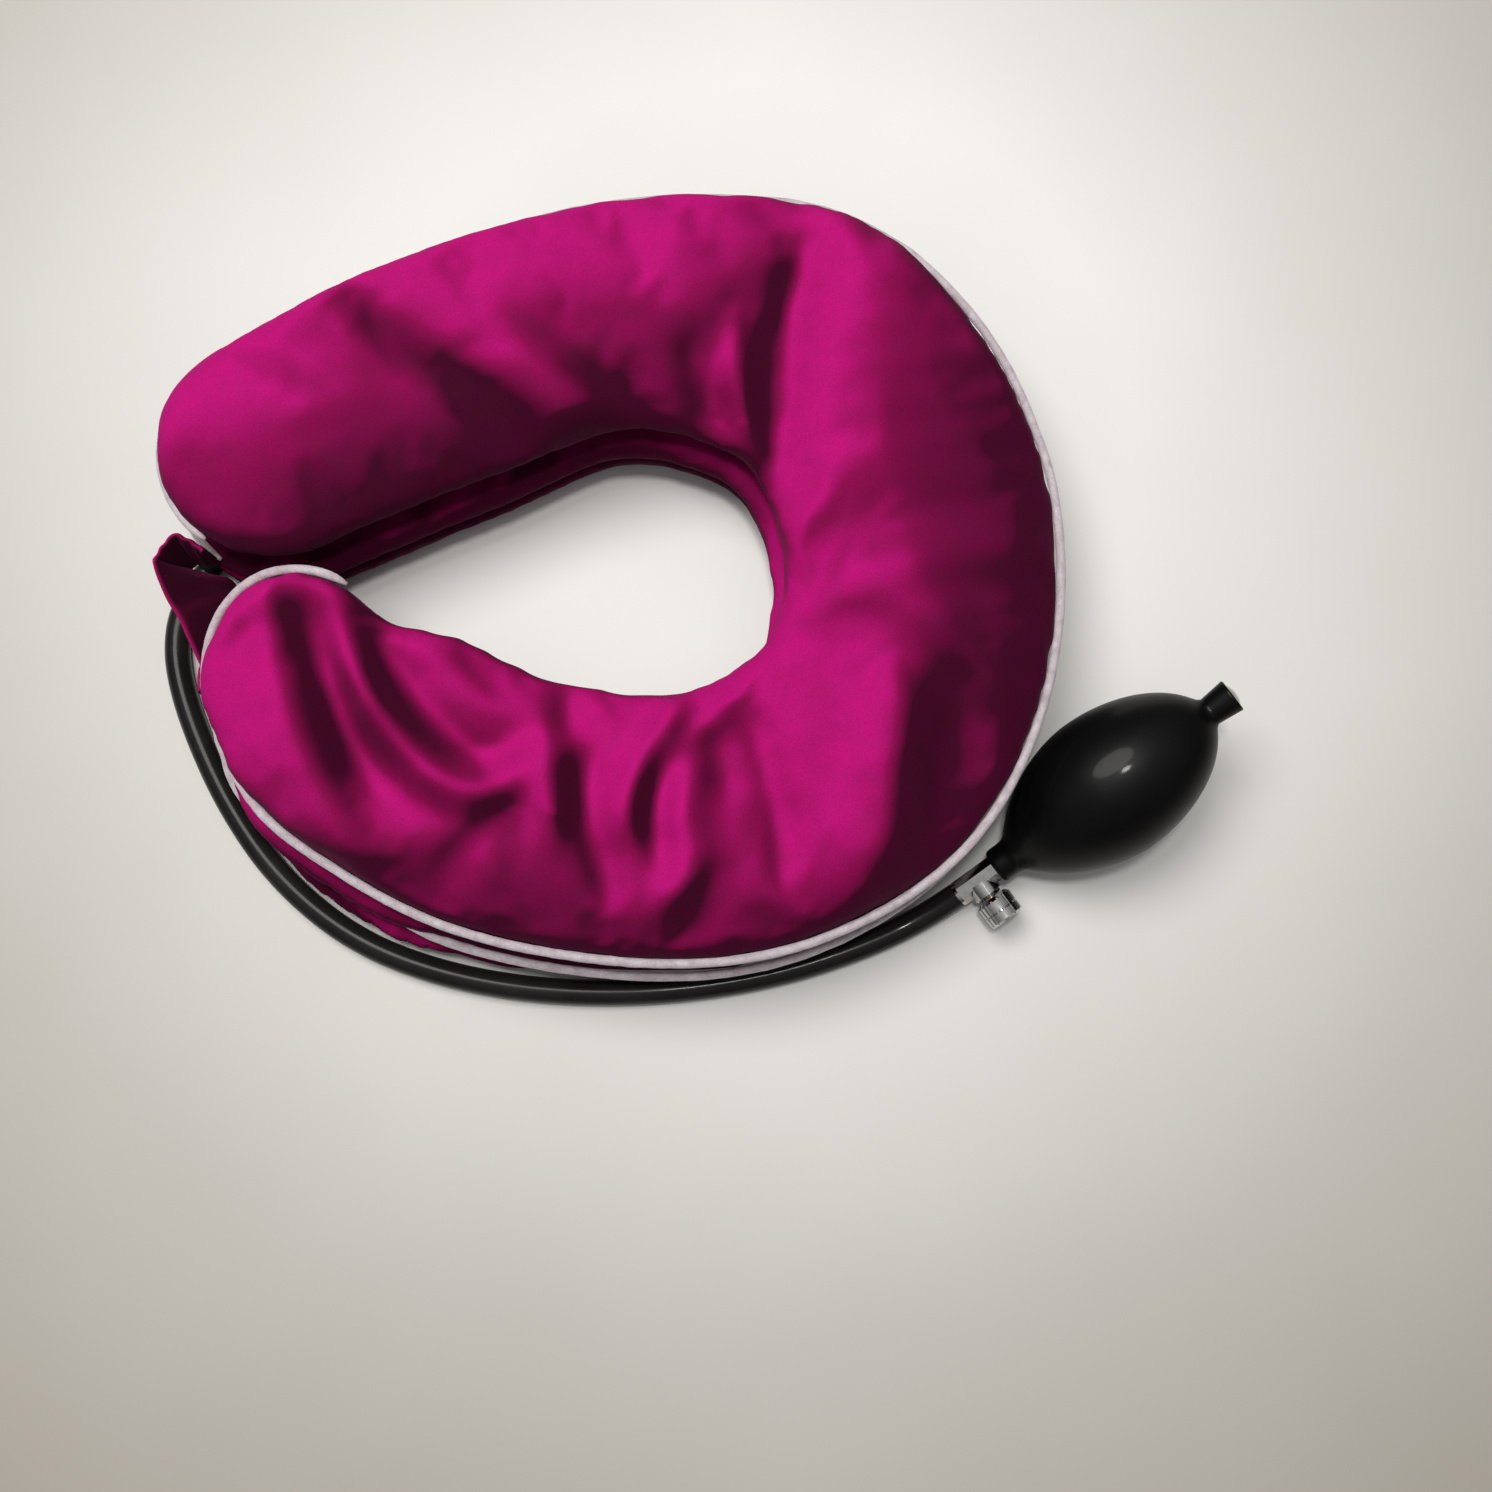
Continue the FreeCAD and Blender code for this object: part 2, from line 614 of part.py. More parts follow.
def release_valve():
    """Needle screw with its seal and knurled knob, on the axis that leaves the valve's side."""
    stem, seal = size("stem_radius"), size("seal_radius")
    knob, start, end = size("knob_radius"), size("knob_start"), size("knob_end")
    tip = size("needle_tip")
    socket = size("knob_socket") - end
    turned_piece("NeedleStem", "XY_Plane", "V_Axis", [
        (0, -tip), (tip / 2, -tip), (stem, -size("needle_taper_end")), (stem, socket), (0, socket),
    ], "needle_stem")
    seal_bore = stem + size("stem_clearance") / 2
    seal_outside = size("seal_gap") - size("boss_face")
    seal_inside = seal_outside + size("seal_thickness")
    turned_piece("StemSeal", "XY_Plane", "V_Axis", [
        (seal_bore, seal_inside), (seal, seal_inside), (seal, seal_outside),
        (seal_bore, seal_outside),
    ], "stem_seal")
    body = doc.addObject("PartDesign::Body", "ReleaseKnob")
    shoulder, chamfer, waist = size("knob_shoulder"), size("knob_chamfer"), size("knob_waist")
    waist_at = (start + end) / 2 + 0.6
    profile = polygon_sketch(body, "XY_Plane", "KnobProfile", [
        (stem, -start), (knob - shoulder, -start), (knob, -start - shoulder),
        (knob, waist - waist_at), (knob - waist, -waist_at), (knob, -waist - waist_at),
        (knob, chamfer - end), (knob - chamfer, -end), (0, -end), (0, socket), (stem, socket),
    ])
    revolve(body, profile, "V_Axis")
    doc.recompute()
    groove = body.newObject("PartDesign::Pocket", "KnobGroove")
    mark = new_sketch(body, "XZ_Plane", "KnobGrooveSketch")
    depth = size("knob_groove")
    width = 0.35
    slot = [(-width, knob - depth), (width, knob - depth), (width, knob + 1), (-width, knob + 1)]
    corners = [Vector(x, y, 0) for x, y in slot]
    for first, second in zip(corners, corners[1:] + corners[:1]):
        mark.addGeometry(Part.LineSegment(first, second), False)
    groove.Profile = mark
    groove.Type = 1
    groove.Midplane = True
    doc.recompute()
    ring = body.newObject("PartDesign::PolarPattern", "KnobGrooves")
    ring.Originals = [groove]
    upright = [f for f in body.Origin.OriginFeatures if f.Role == "Y_Axis"][0]
    ring.Axis = (upright, [""])
    ring.Angle = 360
    ring.Occurrences = KNOB_RIBS
    body.Tip = ring
    doc.recompute()
    body.Placement = PUMP
    keep(body, "release_knob")


def ball(name, radius, along, label):
    made = doc.addObject("Part::Sphere", name)
    made.setExpression("Radius", radius)
    made.Placement = PUMP.multiply(Placement(Vector(along, 0, 0), Rotation()))
    return keep(made, label)


def outlet_valve():
    """Check valve in the bulb's neck: a ball that seats on a ring pressed into the valve's end."""
    end = size("valve_length") / 2 + size("neck_plug_length")
    start = end - size("seat_length")
    outer = size("neck_plug_radius") - size("neck_plug_wall")
    hole = size("valve_hole")
    turned_piece("OutletSeat", "XZ_Plane", "H_Axis", [
        (start, hole), (start, outer), (end, outer), (end, hole),
    ], "outlet_seat")
    ball("OutletBall", "Sizes.outlet_ball_radius", size("outlet_ball_place"), "outlet_ball")


def bulb_profile(sketch):
    """Half section of the rubber bulb: neck, egg-shaped wall and tail, with their bores."""
    middle = size("bulb_middle")
    wall = size("bulb_wall")
    outer_half, outer_radius = size("bulb_half_length"), size("bulb_radius")
    inner_half, inner_radius = outer_half - wall, outer_radius - wall
    neck, tail = size("neck_outer"), size("tail_outer")
    bore, tail_bore = size("neck_plug_radius"), size("tail_bore")
    start, end = size("valve_length") / 2 + 0.1, size("tail_end")

    def ellipse_angle(radius, at_radius, ahead):
        angle = math.asin(at_radius / radius)
        return angle if ahead else math.pi - angle

    def ellipse_point(half, radius, angle):
        return Vector(middle + half * math.cos(angle), radius * math.sin(angle), 0)

    near = ellipse_angle(outer_radius, neck, False)
    far = ellipse_angle(outer_radius, tail, True)
    inner_near = ellipse_angle(inner_radius, bore, False)
    inner_far = ellipse_angle(inner_radius, tail_bore, True)
    outer_near = ellipse_point(outer_half, outer_radius, near)
    outer_far = ellipse_point(outer_half, outer_radius, far)
    hollow_near = ellipse_point(inner_half, inner_radius, inner_near)
    hollow_far = ellipse_point(inner_half, inner_radius, inner_far)
    centre = Vector(middle, 0, 0)
    outer_curve = Part.Ellipse(centre, outer_half, outer_radius)
    inner_curve = Part.Ellipse(centre, inner_half, inner_radius)
    lines = [
        (Vector(start, bore, 0), Vector(start, neck, 0)),
        (Vector(start, neck, 0), outer_near),
        (outer_far, Vector(end, tail, 0)),
        (Vector(end, tail, 0), Vector(end, tail_bore, 0)),
        (Vector(end, tail_bore, 0), hollow_far),
        (hollow_near, Vector(start, bore, 0)),
    ]
    for first, second in lines:
        sketch.addGeometry(Part.LineSegment(first, second), False)
    sketch.addGeometry(Part.ArcOfEllipse(outer_curve, far, near), False)
    sketch.addGeometry(Part.ArcOfEllipse(inner_curve, inner_far, inner_near), False)


def bulb():
    """The bulb's wall, split so that the side that is pressed in is a piece of its own."""
    first, last = size("squeeze_start"), size("squeeze_end")
    reach = size("bulb_radius") + 1
    shells = []
    for name in ("Wall", "Squeeze"):
        body = doc.addObject("PartDesign::Body", "Bulb" + name)
        sketch = new_sketch(body, "XZ_Plane", "Bulb" + name + "Profile")
        bulb_profile(sketch)
        revolve(body, sketch, "H_Axis")
        body.Placement = PUMP
        shells.append(body)
    blocks = []
    for name, gap in (("WallCut", 0.0), ("SqueezeKeep", 0.2)):
        block = doc.addObject("Part::Box", "Bulb" + name)
        block.Length = last - first - 2 * gap
        block.Width = 2 * reach
        block.Height = reach
        corner = Vector(first + gap, -reach, gap)
        block.Placement = PUMP.multiply(Placement(corner, Rotation()))
        blocks.append(block)
    cut(shells[0], blocks[0], "bulb_wall")
    pressed = doc.addObject("Part::Common", "BulbPressed")
    pressed.Base = shells[1]
    pressed.Tool = blocks[1]
    keep(pressed, "bulb_squeeze_wall")


def intake_valve():
    """Chromed plug in the bulb's tail: a domed disc with an air hole, a ball and its retainer."""
    start, end = size("intake_start"), size("tail_end")
    outer = size("tail_bore")
    chamber = size("intake_ball_radius") + size("intake_ball_clearance")
    hole, dome = size("valve_hole"), size("intake_dome")
    seat_outside, seat_inside = end - 2.5, end - 3.3
    turned_piece("IntakePlug", "XZ_Plane", "H_Axis", [
        (start, chamber), (start, outer), (end, outer), (end + dome / 2, outer - hole),
        (end + dome, hole + 0.8), (end + 0.8 * dome, hole), (seat_outside, hole),
        (seat_inside, chamber),
    ], "intake_plug")
    retainer_end = start + size("retainer_length")
    ring_bore = hole + 0.3
    turned_piece("IntakeRetainer", "XZ_Plane", "H_Axis", [
        (start, ring_bore), (start, chamber), (retainer_end, chamber), (retainer_end, ring_bore),
    ], "intake_retainer")
    ball("IntakeBall", "Sizes.intake_ball_radius", size("intake_ball_place"), "intake_ball")


collar()
hose_port()
hose()
strap()
valve_body()
release_valve()
outlet_valve()
bulb()
intake_valve()
doc.recompute()

for thing in doc.Objects:
    if "Invalid" in thing.State or "Error" in thing.State:
        raise RuntimeError("%s failed: %s" % (thing.Label, thing.State))
for thing in SUBPARTS:
    if thing.Shape.isNull() or not thing.Shape.isValid() or not thing.Shape.Solids:
        raise RuntimeError("%s has no valid solid" % thing.Label)

os.makedirs("parts", exist_ok=True)
for thing in SUBPARTS:
    thing.Shape.exportStep("parts/%s.step" % thing.Label)
    box = thing.Shape.BoundBox
    print("%-20s %8.0f mm3  x %.1f..%.1f  y %.1f..%.1f  z %.1f..%.1f"
          % (thing.Label, thing.Shape.Volume, box.XMin, box.XMax, box.YMin, box.YMax,
             box.ZMin, box.ZMax))
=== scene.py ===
import bpy
import json
import math
import numpy as np
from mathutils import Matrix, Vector


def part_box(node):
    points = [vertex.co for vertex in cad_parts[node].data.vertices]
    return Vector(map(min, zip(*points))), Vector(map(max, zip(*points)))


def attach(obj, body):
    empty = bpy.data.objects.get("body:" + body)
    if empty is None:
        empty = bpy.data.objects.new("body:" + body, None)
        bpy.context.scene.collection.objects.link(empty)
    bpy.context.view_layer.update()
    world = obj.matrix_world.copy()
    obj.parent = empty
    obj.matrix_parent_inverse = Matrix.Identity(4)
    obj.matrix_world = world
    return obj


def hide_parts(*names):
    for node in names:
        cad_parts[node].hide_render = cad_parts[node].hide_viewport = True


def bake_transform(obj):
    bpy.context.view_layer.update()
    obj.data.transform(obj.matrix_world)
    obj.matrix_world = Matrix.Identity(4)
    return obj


# The looks of an inflatable three-tier neck pillow with a hand pump, let down, lying on a table.
# Plans and small sizes are in millimetres and become metres through MM. The arms' tips are at -X,
# the back at +X, the "upper" arm at +Y and the "lower" arm, with the hose round it, at -Y.

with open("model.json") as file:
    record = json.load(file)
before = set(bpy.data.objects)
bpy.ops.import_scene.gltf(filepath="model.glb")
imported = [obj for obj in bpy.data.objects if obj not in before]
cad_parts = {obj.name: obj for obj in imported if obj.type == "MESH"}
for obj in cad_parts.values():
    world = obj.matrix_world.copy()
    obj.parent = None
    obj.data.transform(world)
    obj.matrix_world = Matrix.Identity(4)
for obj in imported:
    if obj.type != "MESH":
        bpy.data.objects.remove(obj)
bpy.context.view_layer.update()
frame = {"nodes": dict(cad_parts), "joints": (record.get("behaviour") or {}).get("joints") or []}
MM = 0.001
TIERS = ("bottom", "middle", "top")
JOINTS = {joint["name"]: joint for joint in frame["joints"]}

# The band of a tier from the upper arm's tip round the back to the lower arm's tip:
# middle x and y, and the half-widths on the outer side and on the neck's side.
BAND = (
    (-139, 42, 37.0, 39.5), (-85.5, 69.5, 38.5, 44.0), (-24, 90.5, 37.0, 43.0),
    (31.5, 84.5, 44.5, 48.5), (60, 62, 46.0, 48.5), (75.5, 26.5, 47.3, 48.0),
    (78.5, -8, 46.5, 48.3), (71.5, -39, 46.3, 48.4), (54.5, -63.5, 47.0, 49.3),
    (22.5, -82, 45.2, 48.0), (-15.5, -86, 44.0, 46.0), (-62, -78, 43.5, 46.0),
    (-98, -59, 43.5, 44.5), (-115, -46, 42.0, 38.5), (-126.5, -32, 36.0, 29.5),
)

# Folds of the top cover, each a ridge or a hollow along a line: height, reach to the left and to
# the right of the line's direction, and how rounded the crest is (2 is soft, 1 is a sharp crease).
FOLDS = {
    "upper arm": (
        (2.5, 6, 6, 1.6, ((-110, 99), (-123, 87), (-133, 74))),
        (-3.5, 11, 10, 2.0, ((-117, 92), (-101, 79), (-81, 65), (-59, 48), (-44, 34))),
        (4.5, 12, 10, 1.8, ((-112, 98), (-82, 73), (-59, 61), (-38, 50), (-28, 41))),
        (-1.6, 9, 9, 2.0, ((-60, 80), (-43, 69), (-27, 60), (-10, 51))),
        (-2.0, 8, 8, 2.0, ((-157, 76), (-138, 66), (-118, 54))),
        (1.6, 7, 7, 2.0, ((-135, 71), (-119, 62), (-103, 55))),
        (3.0, 12, 16, 2.0, ((-172, 40), (-160, 52), (-134, 61), (-104, 70))),
        (3.6, 12, 42, 1.3, ((-176, 52), (-148, 76), (-110, 94), (-60, 108), (0, 112))),
    ),
    "back": (
        (-6.0, 9, 16, 1.2, ((42, 134), (40, 104), (35, 83), (32, 55), (29, 31), (26, 12))),
        (4.5, 5, 5, 1.6, ((13, 84), (17, 62), (21, 44), (28, 26))),
        (-3.0, 5, 6, 1.6, ((-4, 88), (3, 68), (8, 56), (17, 42))),
        (1.8, 9, 9, 2.0, ((-10, 122), (-2, 100), (10, 72))),
        (4.0, 24, 34, 1.5, ((62, 124), (60, 84), (54, 36), (50, -6))),
        (1.8, 3, 4, 1.5, ((28, -2), (38, 14), (50, 34))),
        (0.8, 8, 12, 1.8, ((68, 3), (90, 6), (124, 9))),
        (3.5, 9, 9, 1.8, ((44, 6), (62, -6), (82, -20), (99, -38), (104, -58))),
        (-1.6, 5, 5, 2.0, ((63, 122), (63, 108))),
    ),
    "lower right": (
        (6.0, 10, 17, 1.5, ((66, -20), (70, -45), (68, -64), (65, -84), (61, -100), (50, -117))),
        (-3.0, 15, 13, 2.0, ((88, -26), (88, -58), (80, -96))),
        (-3.6, 8, 10, 1.9, ((19, -30), (23, -54), (29, -78), (42, -108))),
        (2.0, 4, 4, 1.6, ((0, -56), (9, -49), (21, -41))),
        (2.0, 3, 3, 1.6, ((17, -28), (21, -52))),
        (-3.5, 4, 5, 1.4, ((7, -52), (11, -66), (15, -82))),
    ),
    "lower middle": (
        (5.0, 4, 4, 1.6, ((1, -38), (-6, -52), (-14, -68), (-19, -84), (-12, -108))),
        (-4.0, 4, 4, 1.7, ((-8, -56), (-9, -78), (-8, -104))),
        (4.0, 5, 4, 1.6, ((4, -52), (-2, -80), (2, -98), (-5, -109), (-16, -115))),
        (-3.0, 6, 6, 2.0, ((-26, -92), (-25, -110))),
        (4.0, 4, 5, 1.6, ((-43, -58), (-43, -75), (-41, -93))),
        (1.8, 4, 4, 1.8, ((-66, -92), (-58, -106))),
        (-3.5, 5, 5, 1.7, ((-34, -52), (-31, -77), (-28, -100))),
    ),
    "lower arm": (
        (2.5, 3, 3, 1.6, ((-138, -2), (-136, -18), (-132, -34))),
        (-1.8, 3, 3, 1.8, ((-144, -8), (-144, -30))),
        (4.0, 9, 12, 2.0, ((-134, -16), (-130, -44), (-121, -68), (-110, -88), (-88, -108))),
        (-6.0, 8, 7, 1.7, ((-124, 2), (-122, -26), (-115, -46), (-105, -66), (-88, -86))),
        (7.0, 4, 6, 1.5, ((-121, 0), (-117, -15), (-110, -30), (-104, -42), (-98, -51), (-88, -62),
                          (-79, -70), (-68, -75), (-60, -73), (-50, -64), (-42, -52))),
        (-5.0, 6, 5, 1.7, ((-110, -10), (-103, -24), (-93, -38), (-81, -52), (-70, -61),
                           (-60, -62), (-48, -52))),
        (-1.4, 1.5, 1.5, 1.6, ((-96, -22), (-87, -34), (-76, -46), (-64, -53), (-46, -54),
                               (-30, -53), (-14, -51), (-4, -46))),
        (-3.5, 4, 4, 1.6, ((-39, -40), (-39, -56))),
    ),
    "upper arm's hem": (
        (-1.2, 1.5, 1.5, 1.6, ((-80, 26), (-60, 32), (-44, 39), (-27, 47), (-8, 53))),
    ),
}

# The hose's route: out of the port, round the lower arm on the table, up to the valve.
HOSE_ROUTE = (
    (-0.17256, 0.00928, 0.0056), (-0.1797, -0.0006, 0.0049), (-0.1829, -0.0127, 0.0045),
    (-0.1818, -0.0272, 0.0045), (-0.1750, -0.0476, 0.0045), (-0.1618, -0.0746, 0.0045),
    (-0.1433, -0.1001, 0.0045), (-0.1173, -0.1211, 0.0045), (-0.0868, -0.1331, 0.0045),
    (-0.0503, -0.1394, 0.0045), (-0.0103, -0.1396, 0.0045), (0.0277, -0.1341, 0.0045),
    (0.0597, -0.1241, 0.0045), (0.0826, -0.1132, 0.0045), (0.09321, -0.10576, 0.00861),
)
HOSE_DIAMETER = 0.009

# Places and sizes of the collar, in mm.
LOWER_TIP = np.array([-127.0, -31.5])
NECK_MIDDLE = np.array([-8.8, 2.0])
ARMS_START = -30.0  # x where the back ends and the arms begin
COVER_GRID = 3.0  # spacing of a cover's sections, and the size of its even mesh
BAND_SAMPLES = 160  # points on the band's middle line where rims and seams are measured
UNDERSIDE_FLATNESS = 1.35
ARMS_PARTING = 8.0  # how much further the arms are apart while the mesh is made even
FOLD_DEPTH = 1.4
TIP_LIFT = 6.5
EASED_FROM, EASED_OVER = 58.0, 7.0  # heights above the first are eased, and never pass their sum
CLOTH_FRAMES, CLOTH_PRESSURE, CLOTH_SLACK = 20, 2.0, 0.006
CLOTH_MOVE = 2.0  # the most that the cloth simulation moves a point
PIPING_RADIUS = 1.55
PIPING_SET_BACK = 1.6  # the softened fabric's rim is this far inside the plan's
PIPING_SINK = 2.2  # how far the piping drops where the fabric hangs over it
PIPING_START, PIPING_END = -28, -68  # where it ends on each tip, in degrees from the tip's middle
BLADDER_INSET = 14.5
BLADDER_END_RINGS = 5  # sections left off at both ends, so that the bladder stays off the tips
STRAP_THICKNESS, TAPE_THICKNESS = 2.3, 1.2


# ---------------------------------------------------------------- small helpers

def smoothstep(value):
    value = np.clip(value, 0.0, 1.0)
    return value * value * (3 - 2 * value)


def smooth_line(points, per_span=8):
    """A Catmull-Rom curve through the points, as an array of finer points."""
    points = np.array(points, float)
    ends = np.vstack([2 * points[0] - points[1], points, 2 * points[-1] - points[-2]])
    made = []
    for a, b, c, d in zip(ends, ends[1:], ends[2:], ends[3:]):
        for step in range(per_span):
            t = step / per_span
            made.append(0.5 * (2 * b + (c - a) * t + (2 * a - 5 * b + 4 * c - d) * t * t
                               + (3 * b - a - 3 * c + d) * t ** 3))
    made.append(points[-1])
    return np.array(made)


def resample(points, count):
    """The same line with evenly spaced points."""
    steps = np.linalg.norm(np.diff(points, axis=0), axis=1)
    along = np.concatenate([[0.0], np.cumsum(steps)])
    wanted = np.linspace(0, along[-1], count)
    columns = [np.interp(wanted, along, points[:, k]) for k in range(points.shape[1])]
    return np.stack(columns, axis=1)


def directions(points):
    """Unit tangents of a line."""
    tangent = np.gradient(points, axis=0)
    return tangent / np.linalg.norm(tangent, axis=1)[:, None]


def lumps(points, scale, seed):
    """Smooth seeded unevenness between about -1 and 1, from a few sine waves."""
    random = np.random.default_rng(seed)
    total = np.zeros(len(points))
    for octave in range(6):
        direction = random.normal(size=points.shape[1])
        direction *= (0.7 + 0.35 * octave) / (np.linalg.norm(direction) * scale)
        total += np.sin(points @ direction * 2 * math.pi + random.uniform(0, 2 * math.pi))
    return total / 3.0


def mesh_piece(name, points, faces, material, smooth=True):
    """A new piece from its points, in metres, and its faces."""
    mesh = bpy.data.meshes.new(name)
    mesh.from_pydata([tuple(p) for p in points], [], faces)
    mesh.validate()
    mesh.update()
    for polygon in mesh.polygons:
        polygon.use_smooth = smooth
    piece = bpy.data.objects.new(name, mesh)
    bpy.context.scene.collection.objects.link(piece)
    piece.data.materials.append(material)
    return piece


def grid_faces(rows, columns, closed_rows=False):
    """The faces between rings of points, one ring per row."""
    faces = []
    for i in range(rows if closed_rows else rows - 1):
        for j in range(columns):
            after, beside = (i + 1) % rows, (j + 1) % columns
            faces.append((i * columns + j, after * columns + j, after * columns + beside,
                          i * columns + beside))
    return faces


def tube_faces(rows, columns):
    """The faces between rings of points, with a face over each end."""
    faces = grid_faces(rows, columns)
    faces.append(tuple(range(columns)))
    faces.append(tuple(reversed(range((rows - 1) * columns, rows * columns))))
    return faces


def vertices_of(piece):
    points = np.zeros(len(piece.data.vertices) * 3)
    piece.data.vertices.foreach_get("co", points)
    return points.reshape(-1, 3)


def move_vertices(piece, points):
    piece.data.vertices.foreach_set("co", points.ravel())
    piece.data.update()


def bake_modifiers(piece):
    """Replaces the piece's mesh by its modified one."""
    graph = bpy.context.evaluated_depsgraph_get()
    made = bpy.data.meshes.new_from_object(piece.evaluated_get(graph))
    piece.modifiers.clear()
    piece.data = made
    for polygon in made.polygons:
        polygon.use_smooth = True


def subdivide(piece):
    finer = piece.modifiers.new("Finer", "SUBSURF")
    finer.levels = finer.render_levels = 1
    bake_modifiers(piece)


def soften(piece, passes):
    relax = piece.modifiers.new("Relax", "SMOOTH")
    relax.factor = 0.5
    relax.iterations = passes
    bake_modifiers(piece)


def remesh(piece, size):
    """Gives the piece an even mesh, without the pinched faces that a voxel mesh can have."""
    grid = piece.modifiers.new("Even", "REMESH")
    grid.mode = "VOXEL"
    grid.voxel_size = size
    bake_modifiers(piece)
    soften(piece, 14)
    weld = piece.modifiers.new("Weld", "WELD")
    weld.merge_threshold = 0.4 * size
    bake_modifiers(piece)


def tube(name, path, radius, sides, material, wobble, seed):
    """A closed round tube with rounded ends along a line, a little uneven."""
    tangent = directions(path)
    up = np.array([0.0, 0.0, 1.0])
    across = np.cross(tangent, up)
    across /= np.linalg.norm(across, axis=1)[:, None]
    over = np.cross(across, tangent)
    ends = np.minimum(np.arange(len(path)), np.arange(len(path))[::-1])
    radius = radius * np.sqrt(np.clip((ends + 0.4) / 3.0, 0, 1))
    rings = []
    for k in range(sides):
        angle = 2 * math.pi * k / sides
        bulge = 1.0 + wobble * lumps(path + k * radius[:, None], 7 * MM, seed + k)
        rings.append(path + (across * math.cos(angle) + over * math.sin(angle))
                     * (radius * bulge)[:, None])
    points = np.stack(rings, axis=1).reshape(-1, 3)
    return mesh_piece(name, points, tube_faces(len(path), sides), material)


# ---------------------------------------------------------------- materials

# The direction from which the velvet's painted light falls, and patches of painted light and
# shade:
# middle x and y, reach along and across, the angle of "along" in degrees, and how much each turns
# the colour towards the lit side.
PAINTED_LIGHT_DIRECTION = (-0.50, 0.42, 0.757)
PAINTED_LIGHT_AND_SHADE_PATCHES = (
    (90, -58, 40, 25, 90, -0.24), (106, 18, 66, 36, 90, -0.23), (-92, 34, 66, 26, 22, -0.10),
    (-60, -106, 70, 20, -8, -0.09), (-142, -48, 50, 20, 100, 0.09), (45, 78, 60, 18, 80, 0.08),
    (-152, 58, 30, 26, 40, 0.09), (-84, 66, 54, 10, -38, -0.26), (-66, 78, 48, 9, -35, 0.07),
    (-34, 65, 32, 8, -33, -0.16), (-138, 66, 24, 7, -28, -0.12), (27, 62, 62, 8, 83, -0.16),
    (-30, 104, 60, 14, 8, 0.05), (-104, -50, 34, 12, -55, -0.12),
    # The last patch is painted shadow along the strip of bottom-tier fabric beside the hose.
    (-118.6, -111.7, 34, 5, -44, -0.40),
)


def new_material(name, **sockets):
    """A Principled material; sockets holds the values that are the same all over the surface."""
    material = bpy.data.materials.new(name)
    material.use_nodes = True
    shader = material.node_tree.nodes["Principled BSDF"]
    for socket, value in sockets.items():
        shader.inputs[socket.replace("_", " ")].default_value = value
    return material


def add_node(material, kind, **values):
    """A new node; each value goes to the input of that name, or else to the node's own setting."""
    made = material.node_tree.nodes.new(kind)
    for name, value in values.items():
        if name in made.inputs.keys():
            made.inputs[name].default_value = value
        else:
            setattr(made, name, value)
    return made


def join(material, source, target):
    material.node_tree.links.new(source, target)


def noise(material, scale, detail=3.0, roughness=0.5, stretch=None):
    """Noise in the piece's own coordinates; scale is in waves per metre."""
    place = add_node(material, "ShaderNodeTexCoord")
    made = add_node(material, "ShaderNodeTexNoise", Scale=scale, Detail=detail,
                    Roughness=roughness)
    source = place.outputs["Object"]
    if stretch:
        mapping = add_node(material, "ShaderNodeMapping")
        mapping.inputs["Scale"].default_value = stretch
        join(material, source, mapping.inputs["Vector"])
        source = mapping.outputs["Vector"]
    join(material, source, made.inputs["Vector"])
    return made.outputs["Fac"]


def ramp(material, source, stops):
    """A colour ramp; stops are (place, colour)."""
    made = add_node(material, "ShaderNodeValToRGB")
    elements = made.color_ramp.elements
    while len(elements) < len(stops):
        elements.new(0.5)
    for element, (place, colour) in zip(elements, stops):
        element.position = place
        element.color = (*colour, 1.0)
    join(material, source, made.inputs["Fac"])
    return made.outputs["Color"]


def spread(material, source, low, high, start=0.3, end=0.7, kind="LINEAR"):
    """Maps a value between start and end to low and high."""
    made = add_node(material, "ShaderNodeMapRange", interpolation_type=kind)
    for name, value in (("From Min", start), ("From Max", end), ("To Min", low), ("To Max", high)):
        made.inputs[name].default_value = value
    join(material, source, made.inputs["Value"])
    return made.outputs["Result"]


def multiply_colours(material, first, second):
    made = add_node(material, "ShaderNodeMix", data_type="RGBA", blend_type="MULTIPLY")
    made.inputs[0].default_value = 1.0
    join(material, first, made.inputs[6])
    join(material, second, made.inputs[7])
    return made.outputs[2]


def calculate(material, operation, first, second):
    made = add_node(material, "ShaderNodeMath", operation=operation)
    join(material, first, made.inputs[0])
    join(material, second, made.inputs[1])
    return made.outputs[0]


def bump(material, source, distance, strength, before=None):
    """A bump normal, on top of the one before it."""
    made = add_node(material, "ShaderNodeBump")
    made.inputs["Distance"].default_value = distance
    made.inputs["Strength"].default_value = strength
    join(material, source, made.inputs["Height"])
    if before:
        join(material, before, made.inputs["Normal"])
    return made.outputs["Normal"]


def principled(material):
    return material.node_tree.nodes["Principled BSDF"].inputs


